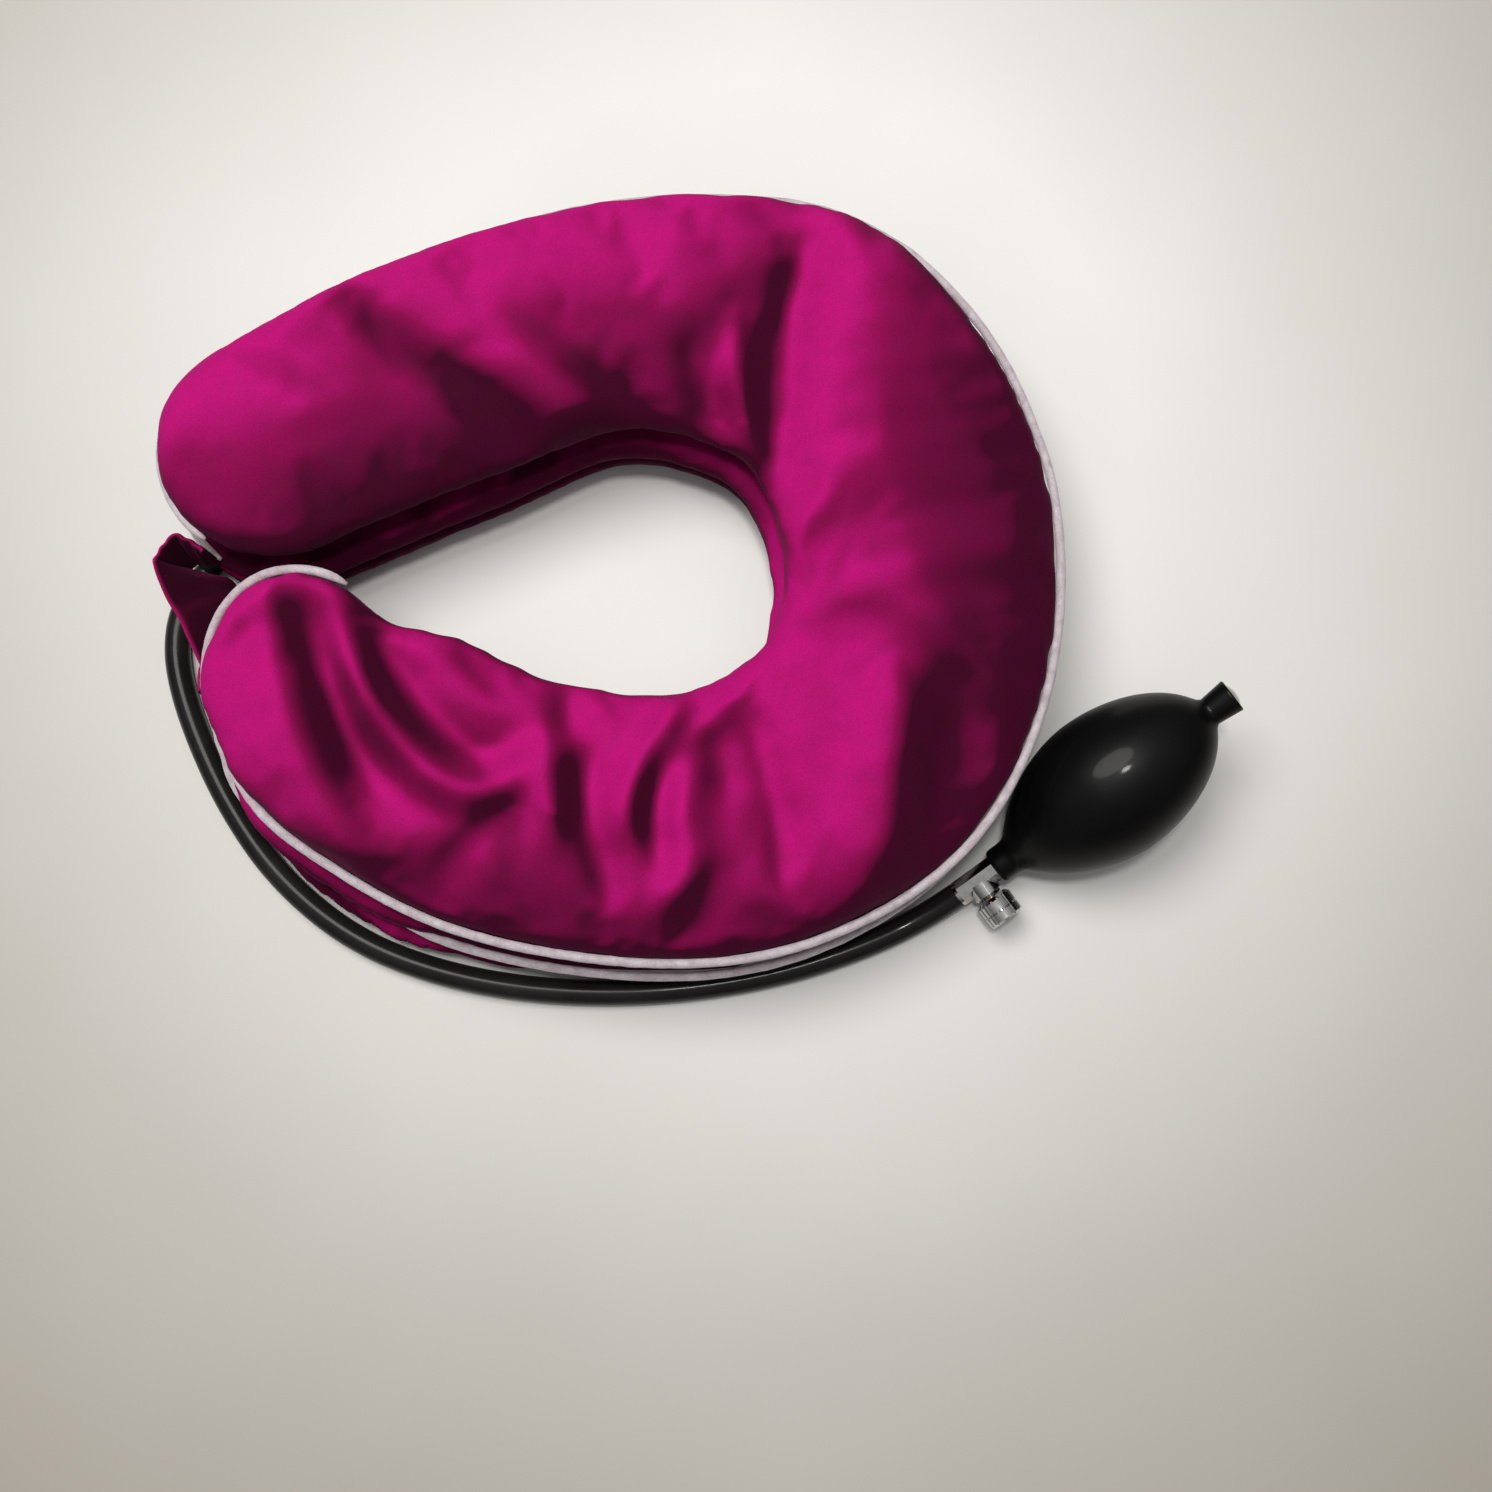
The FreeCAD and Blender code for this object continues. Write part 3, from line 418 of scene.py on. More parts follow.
def painted_light_turn(material, patches):
    """How far the colour is turned to its lit tone: painted light and shade, by the surface's
    direction and by painted patches.
    """
    place = add_node(material, "ShaderNodeTexCoord")
    # Painted light and shade: the surface's direction against the painted light's direction.
    lean = add_node(material, "ShaderNodeVectorMath", operation="DOT_PRODUCT")
    join(material, place.outputs["Normal"], lean.inputs[0])
    lean.inputs[1].default_value = PAINTED_LIGHT_DIRECTION
    total = calculate(material, "ADD", lean.outputs["Value"],
                      spread(material, patches, -0.03, 0.03))
    # Each patch paints light or shade onto its part of the surface.
    for x, y, along, across, angle, turn in PAINTED_LIGHT_AND_SHADE_PATCHES:
        local = add_node(material, "ShaderNodeMapping", vector_type="TEXTURE")
        local.inputs["Location"].default_value = (x * MM, y * MM, 0)
        local.inputs["Rotation"].default_value = (0, 0, math.radians(angle))
        local.inputs["Scale"].default_value = (along * MM, across * MM, 1.0)
        join(material, place.outputs["Object"], local.inputs["Vector"])
        distance = add_node(material, "ShaderNodeVectorMath", operation="LENGTH")
        join(material, local.outputs["Vector"], distance.inputs[0])
        patch = spread(material, distance.outputs["Value"], turn, 0.0, 0.25, 1.25, "SMOOTHSTEP")
        total = calculate(material, "ADD", total, patch)
    return total


def velvet(name, deep, middle, bright):
    """Short-pile velvet with painted light and shade: deep or bright as the surface turns from or
    to the light.
    """
    material = new_material(name, Roughness=0.85, Sheen_Weight=0.09, Sheen_Roughness=0.5,
                            Specular_IOR_Level=0.07)
    principled(material)["Sheen Tint"].default_value = (1.0, 0.2, 0.55, 1.0)
    patches = noise(material, 26.0, 3.0, 0.55)
    brushed = noise(material, 130.0, 3.0, 0.6)
    pile = noise(material, 2400.0, 2.0, 0.7)
    # Painted light and shade: the deep tone on surfaces turned from the light, the bright tone on
    # those turned to it.
    painted_light_colour = ramp(material, painted_light_turn(material, patches),
                 ((0.38, deep), (0.70, middle), (0.90, bright), (1.0, bright)))
    nap = spread(material, brushed, 0.92, 1.05)
    grain = spread(material, pile, 0.80, 1.16)
    coloured = add_node(material, "ShaderNodeVectorMath", operation="SCALE")
    join(material, painted_light_colour, coloured.inputs[0])
    join(material, calculate(material, "MULTIPLY", nap, grain), coloured.inputs["Scale"])
    join(material, coloured.outputs[0], principled(material)["Base Color"])
    rough = spread(material, brushed, 0.74, 0.9)
    join(material, rough, principled(material)["Roughness"])
    creases = bump(material, brushed, 0.6 * MM, 0.25)
    normal = bump(material, pile, 0.25 * MM, 0.45, creases)
    join(material, normal, principled(material)["Normal"])
    return material


def piping_cloth():
    """Pale lilac velour cord."""
    material = new_material("pale_velour", Roughness=0.9, Sheen_Weight=0.5, Sheen_Roughness=0.5)
    mottle = noise(material, 240.0, 4.0, 0.65)
    fuzz = noise(material, 1900.0, 3.0, 0.7)
    colour = ramp(material, mottle, ((0.3, (0.46, 0.38, 0.42)), (0.68, (0.70, 0.64, 0.67))))
    worn = ramp(material, fuzz, ((0.3, (0.78, 0.76, 0.77)), (0.7, (1.0, 1.0, 1.0))))
    join(material, multiply_colours(material, colour, worn), principled(material)["Base Color"])
    normal = bump(material, mottle, 0.5 * MM, 0.5)
    join(material, bump(material, fuzz, 0.3 * MM, 0.7, normal), principled(material)["Normal"])
    return material


def black_rubber(name, low_rough, high_rough, shade, coat):
    """Moulded black rubber with a faint bloom and fine handling marks."""
    material = new_material(name, Coat_Weight=coat, Coat_Roughness=0.10, Specular_IOR_Level=0.10)
    bloom = noise(material, 60.0, 4.0, 0.6)
    grain = noise(material, 1500.0, 2.0, 0.6)
    dark = tuple(0.55 * channel for channel in shade)
    join(material, ramp(material, bloom, ((0.3, dark), (0.75, shade))),
         principled(material)["Base Color"])
    join(material, spread(material, bloom, low_rough, high_rough),
         principled(material)["Roughness"])
    normal = bump(material, grain, 0.06 * MM, 0.35)
    join(material, normal, principled(material)["Normal"])
    return material


def polished_metal(name, colour, low_rough, high_rough):
    """Plated metal with fine turning marks and a few duller patches."""
    material = new_material(name, Metallic=1.0)
    smears = noise(material, 320.0, 4.0, 0.6)
    marks = noise(material, 3800.0, 2.0, 0.6, stretch=(1.0, 1.0, 6.0))
    dull = tuple(0.82 * channel for channel in colour)
    join(material, ramp(material, smears, ((0.35, dull), (0.6, colour))),
         principled(material)["Base Color"])
    join(material, spread(material, smears, low_rough, high_rough),
         principled(material)["Roughness"])
    join(material, bump(material, marks, 0.02 * MM, 0.25), principled(material)["Normal"])
    return material


def bladder_film():
    """Translucent milky plastic film, welded at its rim."""
    material = new_material("bladder_film", Roughness=0.35, Transmission_Weight=0.25,
                            Coat_Weight=0.3)
    cloud = noise(material, 90.0, 4.0, 0.6)
    join(material, ramp(material, cloud, ((0.3, (0.52, 0.54, 0.56)), (0.7, (0.72, 0.73, 0.74)))),
         principled(material)["Base Color"])
    join(material, spread(material, cloud, 0.25, 0.5), principled(material)["Roughness"])
    join(material, bump(material, cloud, 0.8 * MM, 0.4), principled(material)["Normal"])
    return material


def fastener_tape(name, colour, scale, depth):
    """Hook or loop tape: rows of small stubs or a brushed mat of loops."""
    material = new_material(name, Roughness=0.85, Sheen_Weight=0.3)
    place = add_node(material, "ShaderNodeTexCoord")
    cells = add_node(material, "ShaderNodeTexVoronoi", Scale=scale)
    join(material, place.outputs["Object"], cells.inputs["Vector"])
    dark = tuple(0.5 * channel for channel in colour)
    join(material, ramp(material, cells.outputs["Distance"], ((0.1, colour), (0.7, dark))),
         principled(material)["Base Color"])
    join(material, bump(material, cells.outputs["Distance"], depth, 0.9),
         principled(material)["Normal"])
    return material


def floor_paint():
    """Pale warm tabletop with faint clouding, darker away from the middle of the light."""
    material = new_material("pale_table", Roughness=0.6, Specular_IOR_Level=0.2)
    cloud = noise(material, 3.2, 4.0, 0.55)
    colour = ramp(material, cloud, ((0.3, (0.78, 0.765, 0.74)), (0.7, (0.86, 0.85, 0.835))))
    place = add_node(material, "ShaderNodeTexCoord")
    from_middle = add_node(material, "ShaderNodeVectorMath", operation="DISTANCE")
    join(material, place.outputs["Object"], from_middle.inputs[0])
    from_middle.inputs[1].default_value = (0.02, 0.06, 0.0)
    shade = ramp(material, from_middle.outputs["Value"],
                 ((0.14, (1.0, 1.0, 1.0)), (0.32, (0.63, 0.61, 0.58)),
                  (0.45, (0.46, 0.435, 0.39))))
    join(material, multiply_colours(material, colour, shade), principled(material)["Base Color"])
    grain = noise(material, 700.0, 2.0, 0.5)
    join(material, bump(material, grain, 0.05 * MM, 0.15), principled(material)["Normal"])
    return material


# ---------------------------------------------------------------- the tiers' plan

def tier_levels(tier):
    """A tier's lowest, seam and highest levels, in mm."""
    low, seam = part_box(tier + "_lower_cover")
    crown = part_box(tier + "_upper_cover")[1]
    return low.z / MM, seam.z / MM, crown.z / MM


def tier_shift(tier):
    """How far a tier has slipped sideways from the top one, in mm."""
    own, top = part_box(tier + "_lower_cover"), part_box("top_lower_cover")
    shift = (own[0] + own[1] - top[0] - top[1]) / 2
    return np.array([shift.x, shift.y]) / MM


def band_line(count):
    """The band's middle line with tangents, outward normals and two half-widths, evenly spaced."""
    rows = resample(smooth_line(BAND), count)
    middle = rows[:, :2]
    tangent = directions(middle)
    normal = np.stack([-tangent[:, 1], tangent[:, 0]], axis=1)
    return middle, tangent, normal, rows[:, 2], rows[:, 3]


def band_stations(spacing):
    """Sections across the band, with round caps past both ends of its middle line.

    Each is (middle, normal, outer, inner, share of the cap's length)."""
    count = int(360 / spacing)
    middle, tangent, normal, outer, inner = band_line(count)
    stations = [(middle[i], normal[i], outer[i], inner[i], 0.0) for i in range(count)]
    for end, sense in ((0, -1), (count - 1, 1)):
        reach = (outer[end] + inner[end]) / 2
        steps = int(reach * 1.5 / spacing)
        for step in range(1, steps + 1):
            share = math.sin(math.radians(87) * step / steps)
            place = middle[end] + tangent[end] * sense * reach * share
            station = (place, normal[end], outer[end], inner[end], share)
            if sense < 0:
                stations.insert(0, station)
            else:
                stations.append(station)
    return stations


def seam_outline(offset):
    """The outer seam in plan, from the upper arm's neck side round to the lower arm's."""
    middle, tangent, normal, outer, inner = band_line(BAND_SAMPLES)
    line = []
    for end, sense, first in ((0, -1, PIPING_START), (-1, 1, PIPING_END)):
        reach = (outer[end] + inner[end]) / 2
        angles = np.radians(np.linspace(first, 90, 41)[:-1])
        cap = []
        for angle in angles:
            half = outer[end] if angle > 0 else inner[end]
            cap.append(middle[end] + tangent[end] * sense * reach * math.cos(angle)
                       + normal[end] * half * math.sin(angle))
        if sense < 0:
            line += cap
            line += list(middle + normal * outer[:, None])
        else:
            line += cap[::-1]
    line = resample(np.array(line), 420)
    tangent = directions(line)
    outward = np.stack([-tangent[:, 1], tangent[:, 0]], axis=1)
    return line + outward * np.broadcast_to(offset, len(line))[:, None]


# ---------------------------------------------------------------- covers

# Where a tier's fabric hangs out over its piping, or is drawn in: spans of angles about the neck's
# middle in degrees from +X, the angle over which each sets in, and how far it hangs out in mm.
OVERHANG = {
    "top": ((42, 184, 16, 1.8), (188, 213, 6, 2.6)),
    "middle": ((130, 202, 8, -3.5), (200, 243, 12, 5.0)),
    "bottom": ((170, 192, 6, 5.0), (202, 262, 14, 10.0), (214, 244, 10, 4.5)),
}
# How much further than the top tier the others reach into the throat from the upper arm, in mm.
REACH_IN = {"top": 0.0, "middle": 2.0, "bottom": 2.0}


def overhang(tier, plan):
    """How far out the fabric hangs over the piping at each plan point, in mm."""
    from_neck = plan - NECK_MIDDLE
    angle = np.degrees(np.arctan2(from_neck[:, 1], from_neck[:, 0])) % 360
    total = np.zeros(len(plan))
    for first, last, onset, reach in OVERHANG[tier]:
        total += reach * smoothstep((angle - first) / onset) * smoothstep((last - angle) / onset)
    return total


def tip_lift(plan):
    """How far the lower arm's tip, crumpled upwards, is raised at each plan point, in mm."""
    from_tip = plan - LOWER_TIP
    angle = np.degrees(np.arctan2(from_tip[:, 1], from_tip[:, 0]))
    distance = np.linalg.norm(from_tip, axis=1)
    window = smoothstep((angle - 10) / 50) * smoothstep((185 - angle) / 60)
    return TIP_LIFT * window * smoothstep((distance - 10) / 20)


def fold_heights(plan, folds):
    """The height in mm that folds add at each plan point.

    Each fold takes a smooth maximum over its line's points, so that close points don't add up."""
    total = np.zeros(len(plan))
    for height, left, right, roundness, points in folds:
        line = smooth_line(points)
        heading = directions(line)
        margin = 3 * max(left, right)
        first, last = line.min(axis=0) - margin, line.max(axis=0) + margin
        near = ((plan > first) & (plan < last)).all(axis=1)
        offset = plan[near][:, None, :] - line[None, :, :]
        distance = np.linalg.norm(offset, axis=2)
        side = heading[:, 0] * offset[..., 1] - heading[:, 1] * offset[..., 0]
        reach = (left - right) * np.tanh(side / 2.0) / 2 + (left + right) / 2
        along = np.linspace(0, 1, len(line))
        fade = smoothstep(along / 0.3) * smoothstep((1 - along) / 0.3)
        value = fade * np.exp(-(distance / reach) ** roundness)
        total[near] += FOLD_DEPTH * height * (value ** 6).sum(axis=1) ** (1 / 6)
    return total


def tier_points(tier, inset, low, seam, crown, spacing):
    """The closed skin of a tier as rings across the band, in mm."""
    shift = tier_shift(tier)
    rings = []
    steps = int(110 / spacing)
    for middle, normal, outer, inner, share in band_stations(spacing):
        width = math.sqrt(max(1 - share ** 2, 0.0))
        further = REACH_IN[tier] * smoothstep((ARMS_START - middle[0]) / 60) * (middle[1] > 0)
        further = further * smoothstep((middle[0] + 172) / 30)
        inner = inner + further
        ring = []
        for step in range(2 * steps):
            across = math.cos(math.pi * step / steps)
            half = (outer if across > 0 else inner) - inset
            plan = middle + normal * across * half * width + shift
            edge = min(math.hypot(share, across * width), 1.0)
            upper = step < steps
            tall = (1 - edge ** 3.0) ** 0.5
            if upper:
                height = (crown - seam) * tall
            else:
                height = (low - seam) * min(UNDERSIDE_FLATNESS * tall, 1.0)
            ring.append((plan[0], plan[1], seam + height))
        rings.append(ring)
    return np.array(rings)


def part_arms(points, shift, sense):
    """Moves the lower arm off the upper one, or back, so that the even mesh can't join them."""
    x, y = points[:, 0] - shift[0], points[:, 1] - shift[1]
    # The line between the arms in plan, before and after they are parted.
    between = 1.4 + 0.25 * np.minimum(x - LOWER_TIP[0], 0) if sense < 0 else -3.0
    points[:, 1] += sense * ARMS_PARTING * smoothstep((ARMS_START - x) / 50) * (y < between)
    return points


def simulate_cloth(piece, pinned, pressure, slack, cap):
    """Lets the skin settle as cloth under inside pressure, with each point's move under a cap."""
    before = vertices_of(piece)
    group = piece.vertex_groups.new(name="sewn")
    for index, weight in enumerate(pinned):
        if weight > 0:
            group.add([index], float(weight), "REPLACE")
    cloth = piece.modifiers.new("Cloth", "CLOTH")
    cloth.settings.quality = 5
    cloth.settings.mass = 0.3
    cloth.settings.vertex_group_mass = "sewn"
    cloth.settings.use_pressure = True
    cloth.settings.uniform_pressure_force = pressure
    cloth.settings.shrink_min = -slack
    cloth.settings.bending_stiffness = 0.3
    cloth.settings.effector_weights.gravity = 0
    cloth.collision_settings.use_collision = False
    cloth.point_cache.frame_end = CLOTH_FRAMES
    for number in range(1, CLOTH_FRAMES + 1):
        bpy.context.scene.frame_set(number)
    graph = bpy.context.evaluated_depsgraph_get()
    settled = bpy.data.meshes.new_from_object(piece.evaluated_get(graph))
    after = np.zeros(len(settled.vertices) * 3)
    settled.vertices.foreach_get("co", after)
    move = after.reshape(-1, 3) - before
    bpy.data.meshes.remove(settled)
    piece.modifiers.clear()
    piece.vertex_groups.clear()
    bpy.context.scene.frame_set(1)
    distance = np.linalg.norm(move, axis=1)
    move *= (np.minimum(distance, cap) / np.maximum(distance, 1e-9))[:, None]
    move_vertices(piece, before + move)


def raise_folds(tier, points, plan, seed):
    """Raises the top cover's folds and lifted tip, and makes each upper panel a little uneven."""
    low, seam, _ = tier_levels(tier)
    above = smoothstep((points[:, 2] - seam + 0.5) / 6.0)
    if tier == "top":
        folds = [fold for group in FOLDS.values() for fold in group]
        points[:, 2] += above * fold_heights(plan, folds)
        points[:, 2] += tip_lift(plan) * smoothstep((points[:, 2] - low) / 6.0)
        over = np.maximum(points[:, 2] - EASED_FROM, 0.0)
        points[:, 2] += EASED_OVER * np.tanh(over / EASED_OVER) - over
    points[:, 2] += above * 0.4 * lumps(points, 34.0, seed)


def hang_over_piping(tier, points, plan, seed):
    """Moves the rim above the seam out over the piping, or in, by the tier's overhang."""
    seam = tier_levels(tier)[1]
    middle, _, normal, outer, _ = band_line(BAND_SAMPLES)
    nearest = ((plan[:, None, :] - middle[None]) ** 2).sum(axis=2).argmin(axis=1)
    away = plan - middle[nearest]
    distance = np.maximum(np.linalg.norm(away, axis=1), 1e-6)
    outside = (away * normal[nearest]).sum(axis=1) > 0
    past_end = (nearest == 0) | (nearest == len(middle) - 1)
    rim = smoothstep((distance / outer[nearest] - 0.72) / 0.2) * (outside | past_end)
    shoulder = rim * smoothstep((points[:, 2] - seam + 2.0) / 2.5)
    bulge = overhang(tier, plan) + 0.25 * lumps(points, 40.0, seed + 50)
    points[:, :2] += away / distance[:, None] * (bulge * shoulder)[:, None]


def tier_cover(tier, material, seed):
    """One tier's fabric: a slack, flattened tube with its seam at the outer edge."""
    low, seam, crown = tier_levels(tier)
    rings = tier_points(tier, 0.0, low, seam, crown, COVER_GRID)
    parted = part_arms(rings.reshape(-1, 3), tier_shift(tier), -1)
    piece = mesh_piece(tier + "_tier_fabric", parted * MM, tube_faces(*rings.shape[:2]), material)
    remesh(piece, COVER_GRID * MM)
    points = part_arms(vertices_of(piece) / MM, tier_shift(tier), 1)
    plan = points[:, :2] - tier_shift(tier)
    raise_folds(tier, points, plan, seed)
    hang_over_piping(tier, points, plan, seed)
    move_vertices(piece, points * MM)
    soften(piece, 8)
    edge = np.abs(points[:, 2] - seam - tip_lift(plan) * (tier == "top"))
    sewn = np.clip(1.6 - edge / 1.2, 0, 1)
    simulate_cloth(piece, sewn, CLOTH_PRESSURE, CLOTH_SLACK, CLOTH_MOVE * MM)
    points = vertices_of(piece)
    points[:, 2] = np.clip(points[:, 2], low * MM, None)
    move_vertices(piece, points)
    subdivide(piece)
    return piece


def tier_piping(tier, material, seed):
    """The corded piping along a tier's outer seam."""
    seam = tier_levels(tier)[1]
    tuck = overhang(tier, seam_outline(0.0))
    plan = seam_outline(PIPING_RADIUS - PIPING_SET_BACK + np.minimum(tuck, 0)
                        - 0.3 * np.clip(tuck - 2, 0, 3))
    heights = seam - np.clip(tuck, 0, PIPING_SINK)
    if tier == "top":
        heights = heights + 1.05 * tip_lift(plan)
    plan = plan + tier_shift(tier)
    path = np.column_stack([plan, heights])
    path[:, 2] += 0.45 * lumps(path, 40.0, seed)
    return tube(tier + "_tier_piping", path * MM, PIPING_RADIUS * MM, 12, material, 0.05, seed)


def tier_bladder(tier, material):
    """The let-down airtight bag inside a tier's cover."""
    low = tier_levels(tier)[0]
    rings = tier_points(tier, BLADDER_INSET, low + 3.0, low + 4.2, low + 5.4, 5.0)
    rings = rings[BLADDER_END_RINGS:-BLADDER_END_RINGS]
    piece = mesh_piece(tier + "_tier_bladder", rings.reshape(-1, 3) * MM,
                       tube_faces(*rings.shape[:2]), material)
    points = vertices_of(piece)
    points[:, 2] += 0.4 * MM * lumps(points, 30 * MM, 7)
    move_vertices(piece, points)
    return piece


def build_tiers():
    cover_cloth = velvet("magenta_velvet", (0.050, 0.0008, 0.016), (0.235, 0.0022, 0.070),
                         (0.46, 0.0050, 0.165))
    cord_cloth = piping_cloth()
    film = bladder_film()
    for seed, tier in enumerate(TIERS, start=1):
        fabric = tier_cover(tier, cover_cloth, 10 * seed)
        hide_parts(tier + "_lower_cover", tier + "_upper_cover")
        piping = tier_piping(tier, cord_cloth, 100 + seed)
        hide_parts(tier + "_piping")
        bladder = tier_bladder(tier, film)
        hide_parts(tier + "_bladder")
        for piece in (fabric, bladder):
            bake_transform(piece)
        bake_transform(piping)


# ---------------------------------------------------------------- hose

def build_hose():
    curve = bpy.data.curves.new("hose", "CURVE")
    curve.dimensions = "3D"
    curve.resolution_u = 16
    curve.bevel_depth = HOSE_DIAMETER / 2
    curve.bevel_resolution = 7
    curve.use_fill_caps = True
    line = curve.splines.new("NURBS")
    line.points.add(len(HOSE_ROUTE) - 1)
    for point, place in zip(line.points, HOSE_ROUTE):
        point.co = (*place, 1.0)
    line.order_u = 3
    line.use_endpoint_u = True
    piece = bpy.data.objects.new("rubber_hose", curve)
    bpy.context.scene.collection.objects.link(piece)
    curve.materials.append(black_rubber("hose_rubber", 0.26, 0.36, (0.018, 0.016, 0.0155), 0.2))
    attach(piece, "base")
    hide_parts("hose")


# ---------------------------------------------------------------- closure strap

def ribbon(name, plan, low, high, thickness, lean, material, seed, round_over=0.45):
    """An upright fabric strip along a plan line: rounded edges, a slight lean and soft waves."""
    line = resample(smooth_line(plan, 10), 60)
    tangent = directions(line)
    side = np.stack([-tangent[:, 1], tangent[:, 0]], axis=1)
    along = np.linspace(0, 1, len(line))
    section = []
    half = thickness / 2
    for angle in np.radians(np.arange(0, 360, 15)):
        sideways = half * math.copysign(abs(math.cos(angle)) ** round_over, math.cos(angle))
        upward = math.copysign(abs(math.sin(angle)) ** 0.35, math.sin(angle))
        section.append((sideways, upward))
    middle, tall = (low + high) / 2, (high - low) / 2
    slant = lean * np.sin(math.pi * np.clip(along * 1.15, 0, 1)) ** 0.4
    rings = []
    for sideways, upward in section:
        places = np.column_stack([along * 60, np.full(len(line), upward * 8)])
        wave = 0.35 * lumps(places, 26, seed)
        offset = sideways + slant * (1 - upward) / 2 + wave
        height = middle + tall * upward + 0.4 * np.sin(along * 7 + seed)
        rings.append(np.column_stack([line + side * offset[:, None], height]))
    points = np.stack(rings, axis=1).reshape(-1, 3) * MM
    piece = mesh_piece(name, points, tube_faces(len(line), len(section)), material)
    subdivide(piece)
    return piece


def round_tip(radius):
    """Plan points round the lower arm's tip on the middle tier."""
    centre = LOWER_TIP + (-3.5, -3.5)
    angles = np.radians(np.linspace(172, 190, 8))
    return [tuple(centre + radius * np.array([math.cos(a), math.sin(a)])) for a in angles]


def build_strap():
    # The strap's velvet has a darker deep tone than the covers': painted shade for its shaded
    # inner face.
    cloth = velvet("strap_velvet_shaded", (0.03, 0.0008, 0.009), (0.20, 0.003, 0.055),
                   (0.45, 0.007, 0.14))
    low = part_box("closure_strap")[0].z / MM
    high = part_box("closure_strap")[1].z / MM
    hinge = np.array(JOINTS["strap_open"]["pos_m"][:2]) / MM
    line = [tuple(hinge + (-0.3, 0.5)), tuple(hinge + (2.0, -6.5)), tuple(hinge + (6.3, -15.0)),
            tuple(hinge + (12.5, -26.5))]
    strap = ribbon("closure_strap_fabric", line + round_tip(32.4), low, high, STRAP_THICKNESS,
                   20.0, cloth, 3)
    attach(strap, "strap")
    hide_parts("closure_strap")
    fold = [tuple(hinge + (-0.2, -0.4)), tuple(hinge + (3.2, 5.0)), tuple(hinge + (6.8, 8.6)),
            tuple(hinge + (11.5, 6.5)), tuple(hinge + (16.5, 3.0))]
    anchor = ribbon("strap_anchor_fabric", fold, low, high, STRAP_THICKNESS, -4.0, cloth, 5)
    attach(anchor, "top_tier")
    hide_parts("strap_anchor")
    hooks = fastener_tape("hook_tape", (0.10, 0.02, 0.05), 1100.0, 0.5 * MM)
    loops = fastener_tape("loop_tape", (0.24, 0.03, 0.10), 700.0, 0.4 * MM)
    for node, radius, tape, body in (("hook_patch", 30.5, hooks, "strap"),
                                     ("loop_patch", 28.9, loops, "top_tier")):
        bottom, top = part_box(node)
        patch = ribbon(node + "_tape", round_tip(radius), bottom.z / MM, top.z / MM,
                       TAPE_THICKNESS, 0.0, tape, 8, 0.3)
        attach(patch, body)
        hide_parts(node)


# ---------------------------------------------------------------- pump

PUMP = Vector(JOINTS["release_turn"]["pos_m"])
PUMP_AXIS = Vector(JOINTS["intake_ball_lift"]["axis"]).normalized()
# Places along the pump's axis and radii, in mm.
BULB_MIDDLE, BULB_HALF_LENGTH, BULB_RADIUS, BULB_WALL = 55.0, 41.5, 25.2, 2.5
NECK_START, TAIL_END = 7.7, 106.0
NECK_SLEEVE, TAIL_SLEEVE, TAIL_FLARE, FLARE_LENGTH = 6.2, 5.0, 1.0, 9.0
NECK_BORE, TAIL_BORE = 3.45, 4.15


def bulb_radius(along):
    """The bulb's outer radius in mm at a place on the pump's axis."""
    ratio = (along - BULB_MIDDLE) / BULB_HALF_LENGTH
    roundness, fullness = (1.8, 0.62) if ratio < 0 else (1.95, 0.53)
    egg = BULB_RADIUS * max(1 - abs(ratio) ** roundness, 0.0) ** fullness
    if ratio < 0:
        sleeve = NECK_SLEEVE
    else:
        flare_start = TAIL_END - FLARE_LENGTH
        sleeve = TAIL_SLEEVE + TAIL_FLARE * max((along - flare_start) / FLARE_LENGTH, 0.0)
    fillet = 2.6
    return 0.5 * (egg + sleeve + math.sqrt((egg - sleeve) ** 2 + fillet ** 2)) - 0.25


def turned(name, profile, sides, material):
    """A hollow piece turned about the pump's axis from a closed line of (along, radius) in mm."""
    across = PUMP_AXIS.cross(Vector((0, 0, 1))).normalized()
    up = across.cross(PUMP_AXIS).normalized()
    points = []
    for along, radius in profile:
        for k in range(sides):
            angle = 2 * math.pi * k / sides
            ray = across * math.cos(angle) + up * math.sin(angle)
            points.append(PUMP + PUMP_AXIS * along * MM + ray * radius * MM)
    faces = grid_faces(len(profile), sides, closed_rows=True)
    return mesh_piece(name, points, faces, material)


def build_bulb():
    """The bulb's wall in section: outside from the neck to the tail, round the rim, and back."""
    outside = [(along, bulb_radius(along)) for along in np.linspace(NECK_START, TAIL_END, 96)]
    outside[0] = (NECK_START, outside[1][1] - 0.5)
    end_radius = outside[-1][1]
    outside[-1] = (TAIL_END - 0.4, end_radius)
    rim = [(TAIL_END, end_radius - 0.5), (TAIL_END, 4.3)]
    inside = []
    for along in np.linspace(TAIL_END - 1.0, NECK_START + 0.5, 60):
        bore = TAIL_BORE if along > BULB_MIDDLE else NECK_BORE
        inside.append((along, max(bulb_radius(along) - BULB_WALL, bore)))
    profile = outside + rim + inside + [(NECK_START, 3.6)]
    rubber = black_rubber("bulb_rubber", 0.36, 0.46, (0.003, 0.003, 0.003), 0.11)
    piece = turned("pump_bulb", profile[::-1], 96, rubber)
    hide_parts("bulb_wall", "bulb_squeeze_wall")
    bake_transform(piece)


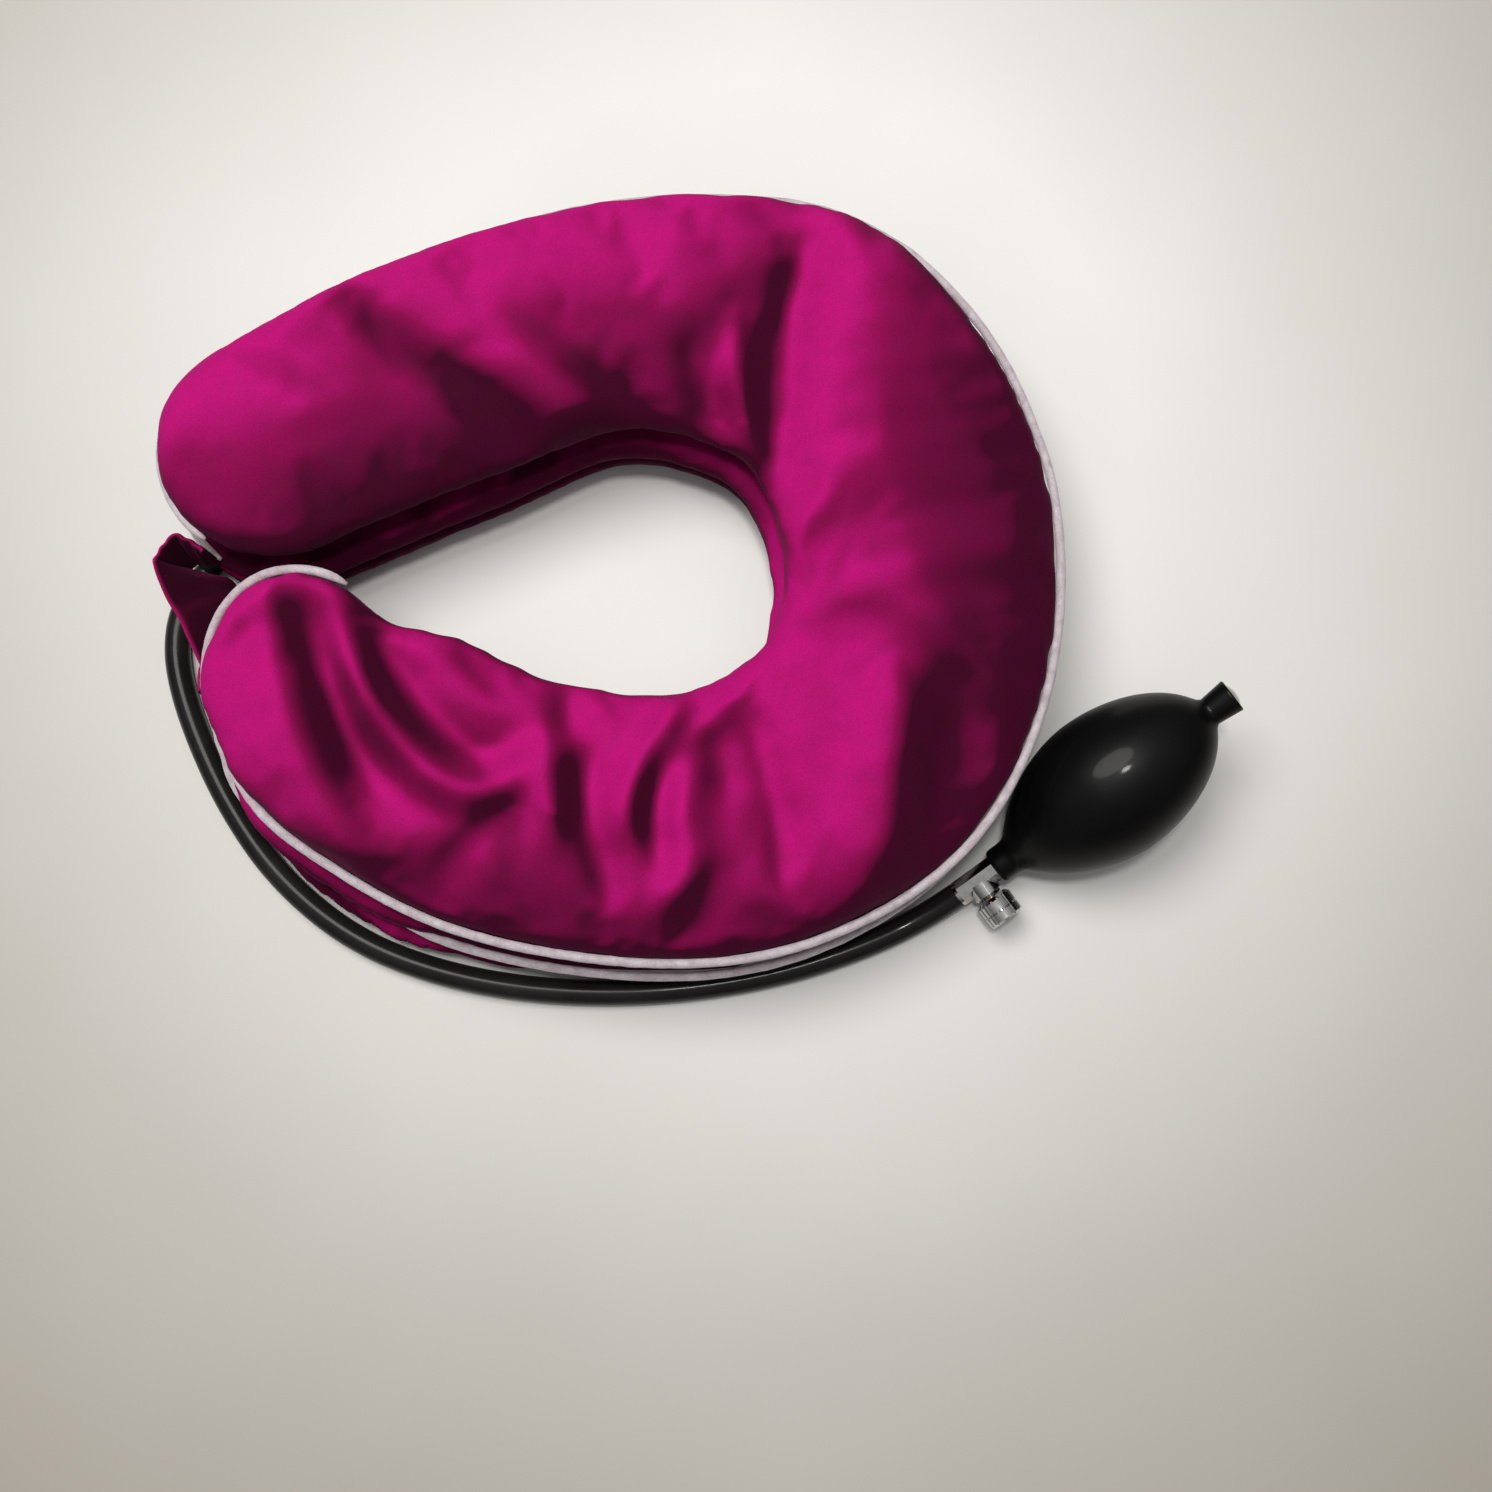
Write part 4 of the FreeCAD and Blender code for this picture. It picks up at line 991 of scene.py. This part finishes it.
def finish_cad_pieces():
    """Gives the metal and rubber pieces that keep their CAD shapes their real finishes."""
    chrome = polished_metal("chrome_plate", (0.58, 0.575, 0.56), 0.05, 0.14)
    nickel = polished_metal("eyelet_nickel", (0.62, 0.61, 0.60), 0.18, 0.32)
    brass = polished_metal("machined_brass", (0.72, 0.52, 0.24), 0.18, 0.30)
    steel = polished_metal("ball_steel", (0.60, 0.60, 0.62), 0.06, 0.14)
    seal = black_rubber("seal_rubber", 0.45, 0.6, (0.02, 0.02, 0.02), 0.0)
    port = black_rubber("port_rubber", 0.6, 0.8, (0.006, 0.005, 0.005), 0.0)
    weld = bladder_film()
    finishes = {
        "valve_body": chrome, "release_knob": chrome, "intake_plug": chrome,
        "hose_grommet": nickel, "needle_stem": brass, "outlet_seat": brass,
        "intake_retainer": brass, "outlet_ball": steel, "intake_ball": steel,
        "stem_seal": seal, "hose_port": port, "lower_air_link": weld, "upper_air_link": weld,
    }
    for node, material in finishes.items():
        piece = frame["nodes"][node]
        piece.data.materials.clear()
        piece.data.materials.append(material)


# ---------------------------------------------------------------- stage

def build_stage():
    span = 4.0
    corners = [(-span, -span, 0), (span, -span, 0), (span, span, 0), (-span, span, 0)]
    floor = mesh_piece("table_top", corners, [(0, 1, 2, 3)], floor_paint(), smooth=False)


def aim(thing, target):
    away = thing.location - Vector(target)
    thing.rotation_euler = away.to_track_quat("Z", "Y").to_euler()


def add_light(name, place, target, size, power, colour):
    lamp = bpy.data.lights.new(name, "AREA")
    lamp.shape = "DISK"
    lamp.size = size
    lamp.energy = power
    lamp.color = colour
    thing = bpy.data.objects.new(name, lamp)
    thing.location = place
    bpy.context.scene.collection.objects.link(thing)
    aim(thing, target)


def build_lights():
    world = bpy.data.worlds.new("studio")
    world.use_nodes = True
    background = world.node_tree.nodes["Background"]
    background.inputs["Strength"].default_value = 1.0
    place = add_node(world, "ShaderNodeTexCoord")
    split = add_node(world, "ShaderNodeSeparateXYZ")
    join(world, place.outputs["Generated"], split.inputs[0])
    dome = ramp(world, split.outputs["Z"], ((0.0, (0.15, 0.15, 0.155)), (0.3, (0.10, 0.10, 0.11)),
                                            (0.8, (0.34, 0.34, 0.35)), (1.0, (0.62, 0.62, 0.62))))
    join(world, dome, background.inputs["Color"])
    bpy.context.scene.world = world
    add_light("key", (-0.50, 0.48, 1.75), (0, 0, 0), 1.0, 21.5, (1.0, 0.985, 0.955))
    add_light("overhead", (0.0, 0.0, 1.5), (0, 0, 0), 0.16, 6.0, (1.0, 0.99, 0.96))


def build_camera():
    lens = bpy.data.cameras.new("photo_view")
    lens.lens = 43.43
    lens.sensor_width = 36.0
    camera = bpy.data.objects.new("photo_view", lens)
    camera.location = (0.0197, -0.14167, 0.6338)
    camera.rotation_euler = (math.radians(8.0), 0, 0)
    bpy.context.scene.collection.objects.link(camera)
    bpy.context.scene.camera = camera


bpy.context.scene.view_settings.view_transform = "Standard"
build_camera()
build_stage()
build_lights()
build_hose()
build_tiers()
build_strap()
build_bulb()
finish_cad_pieces()
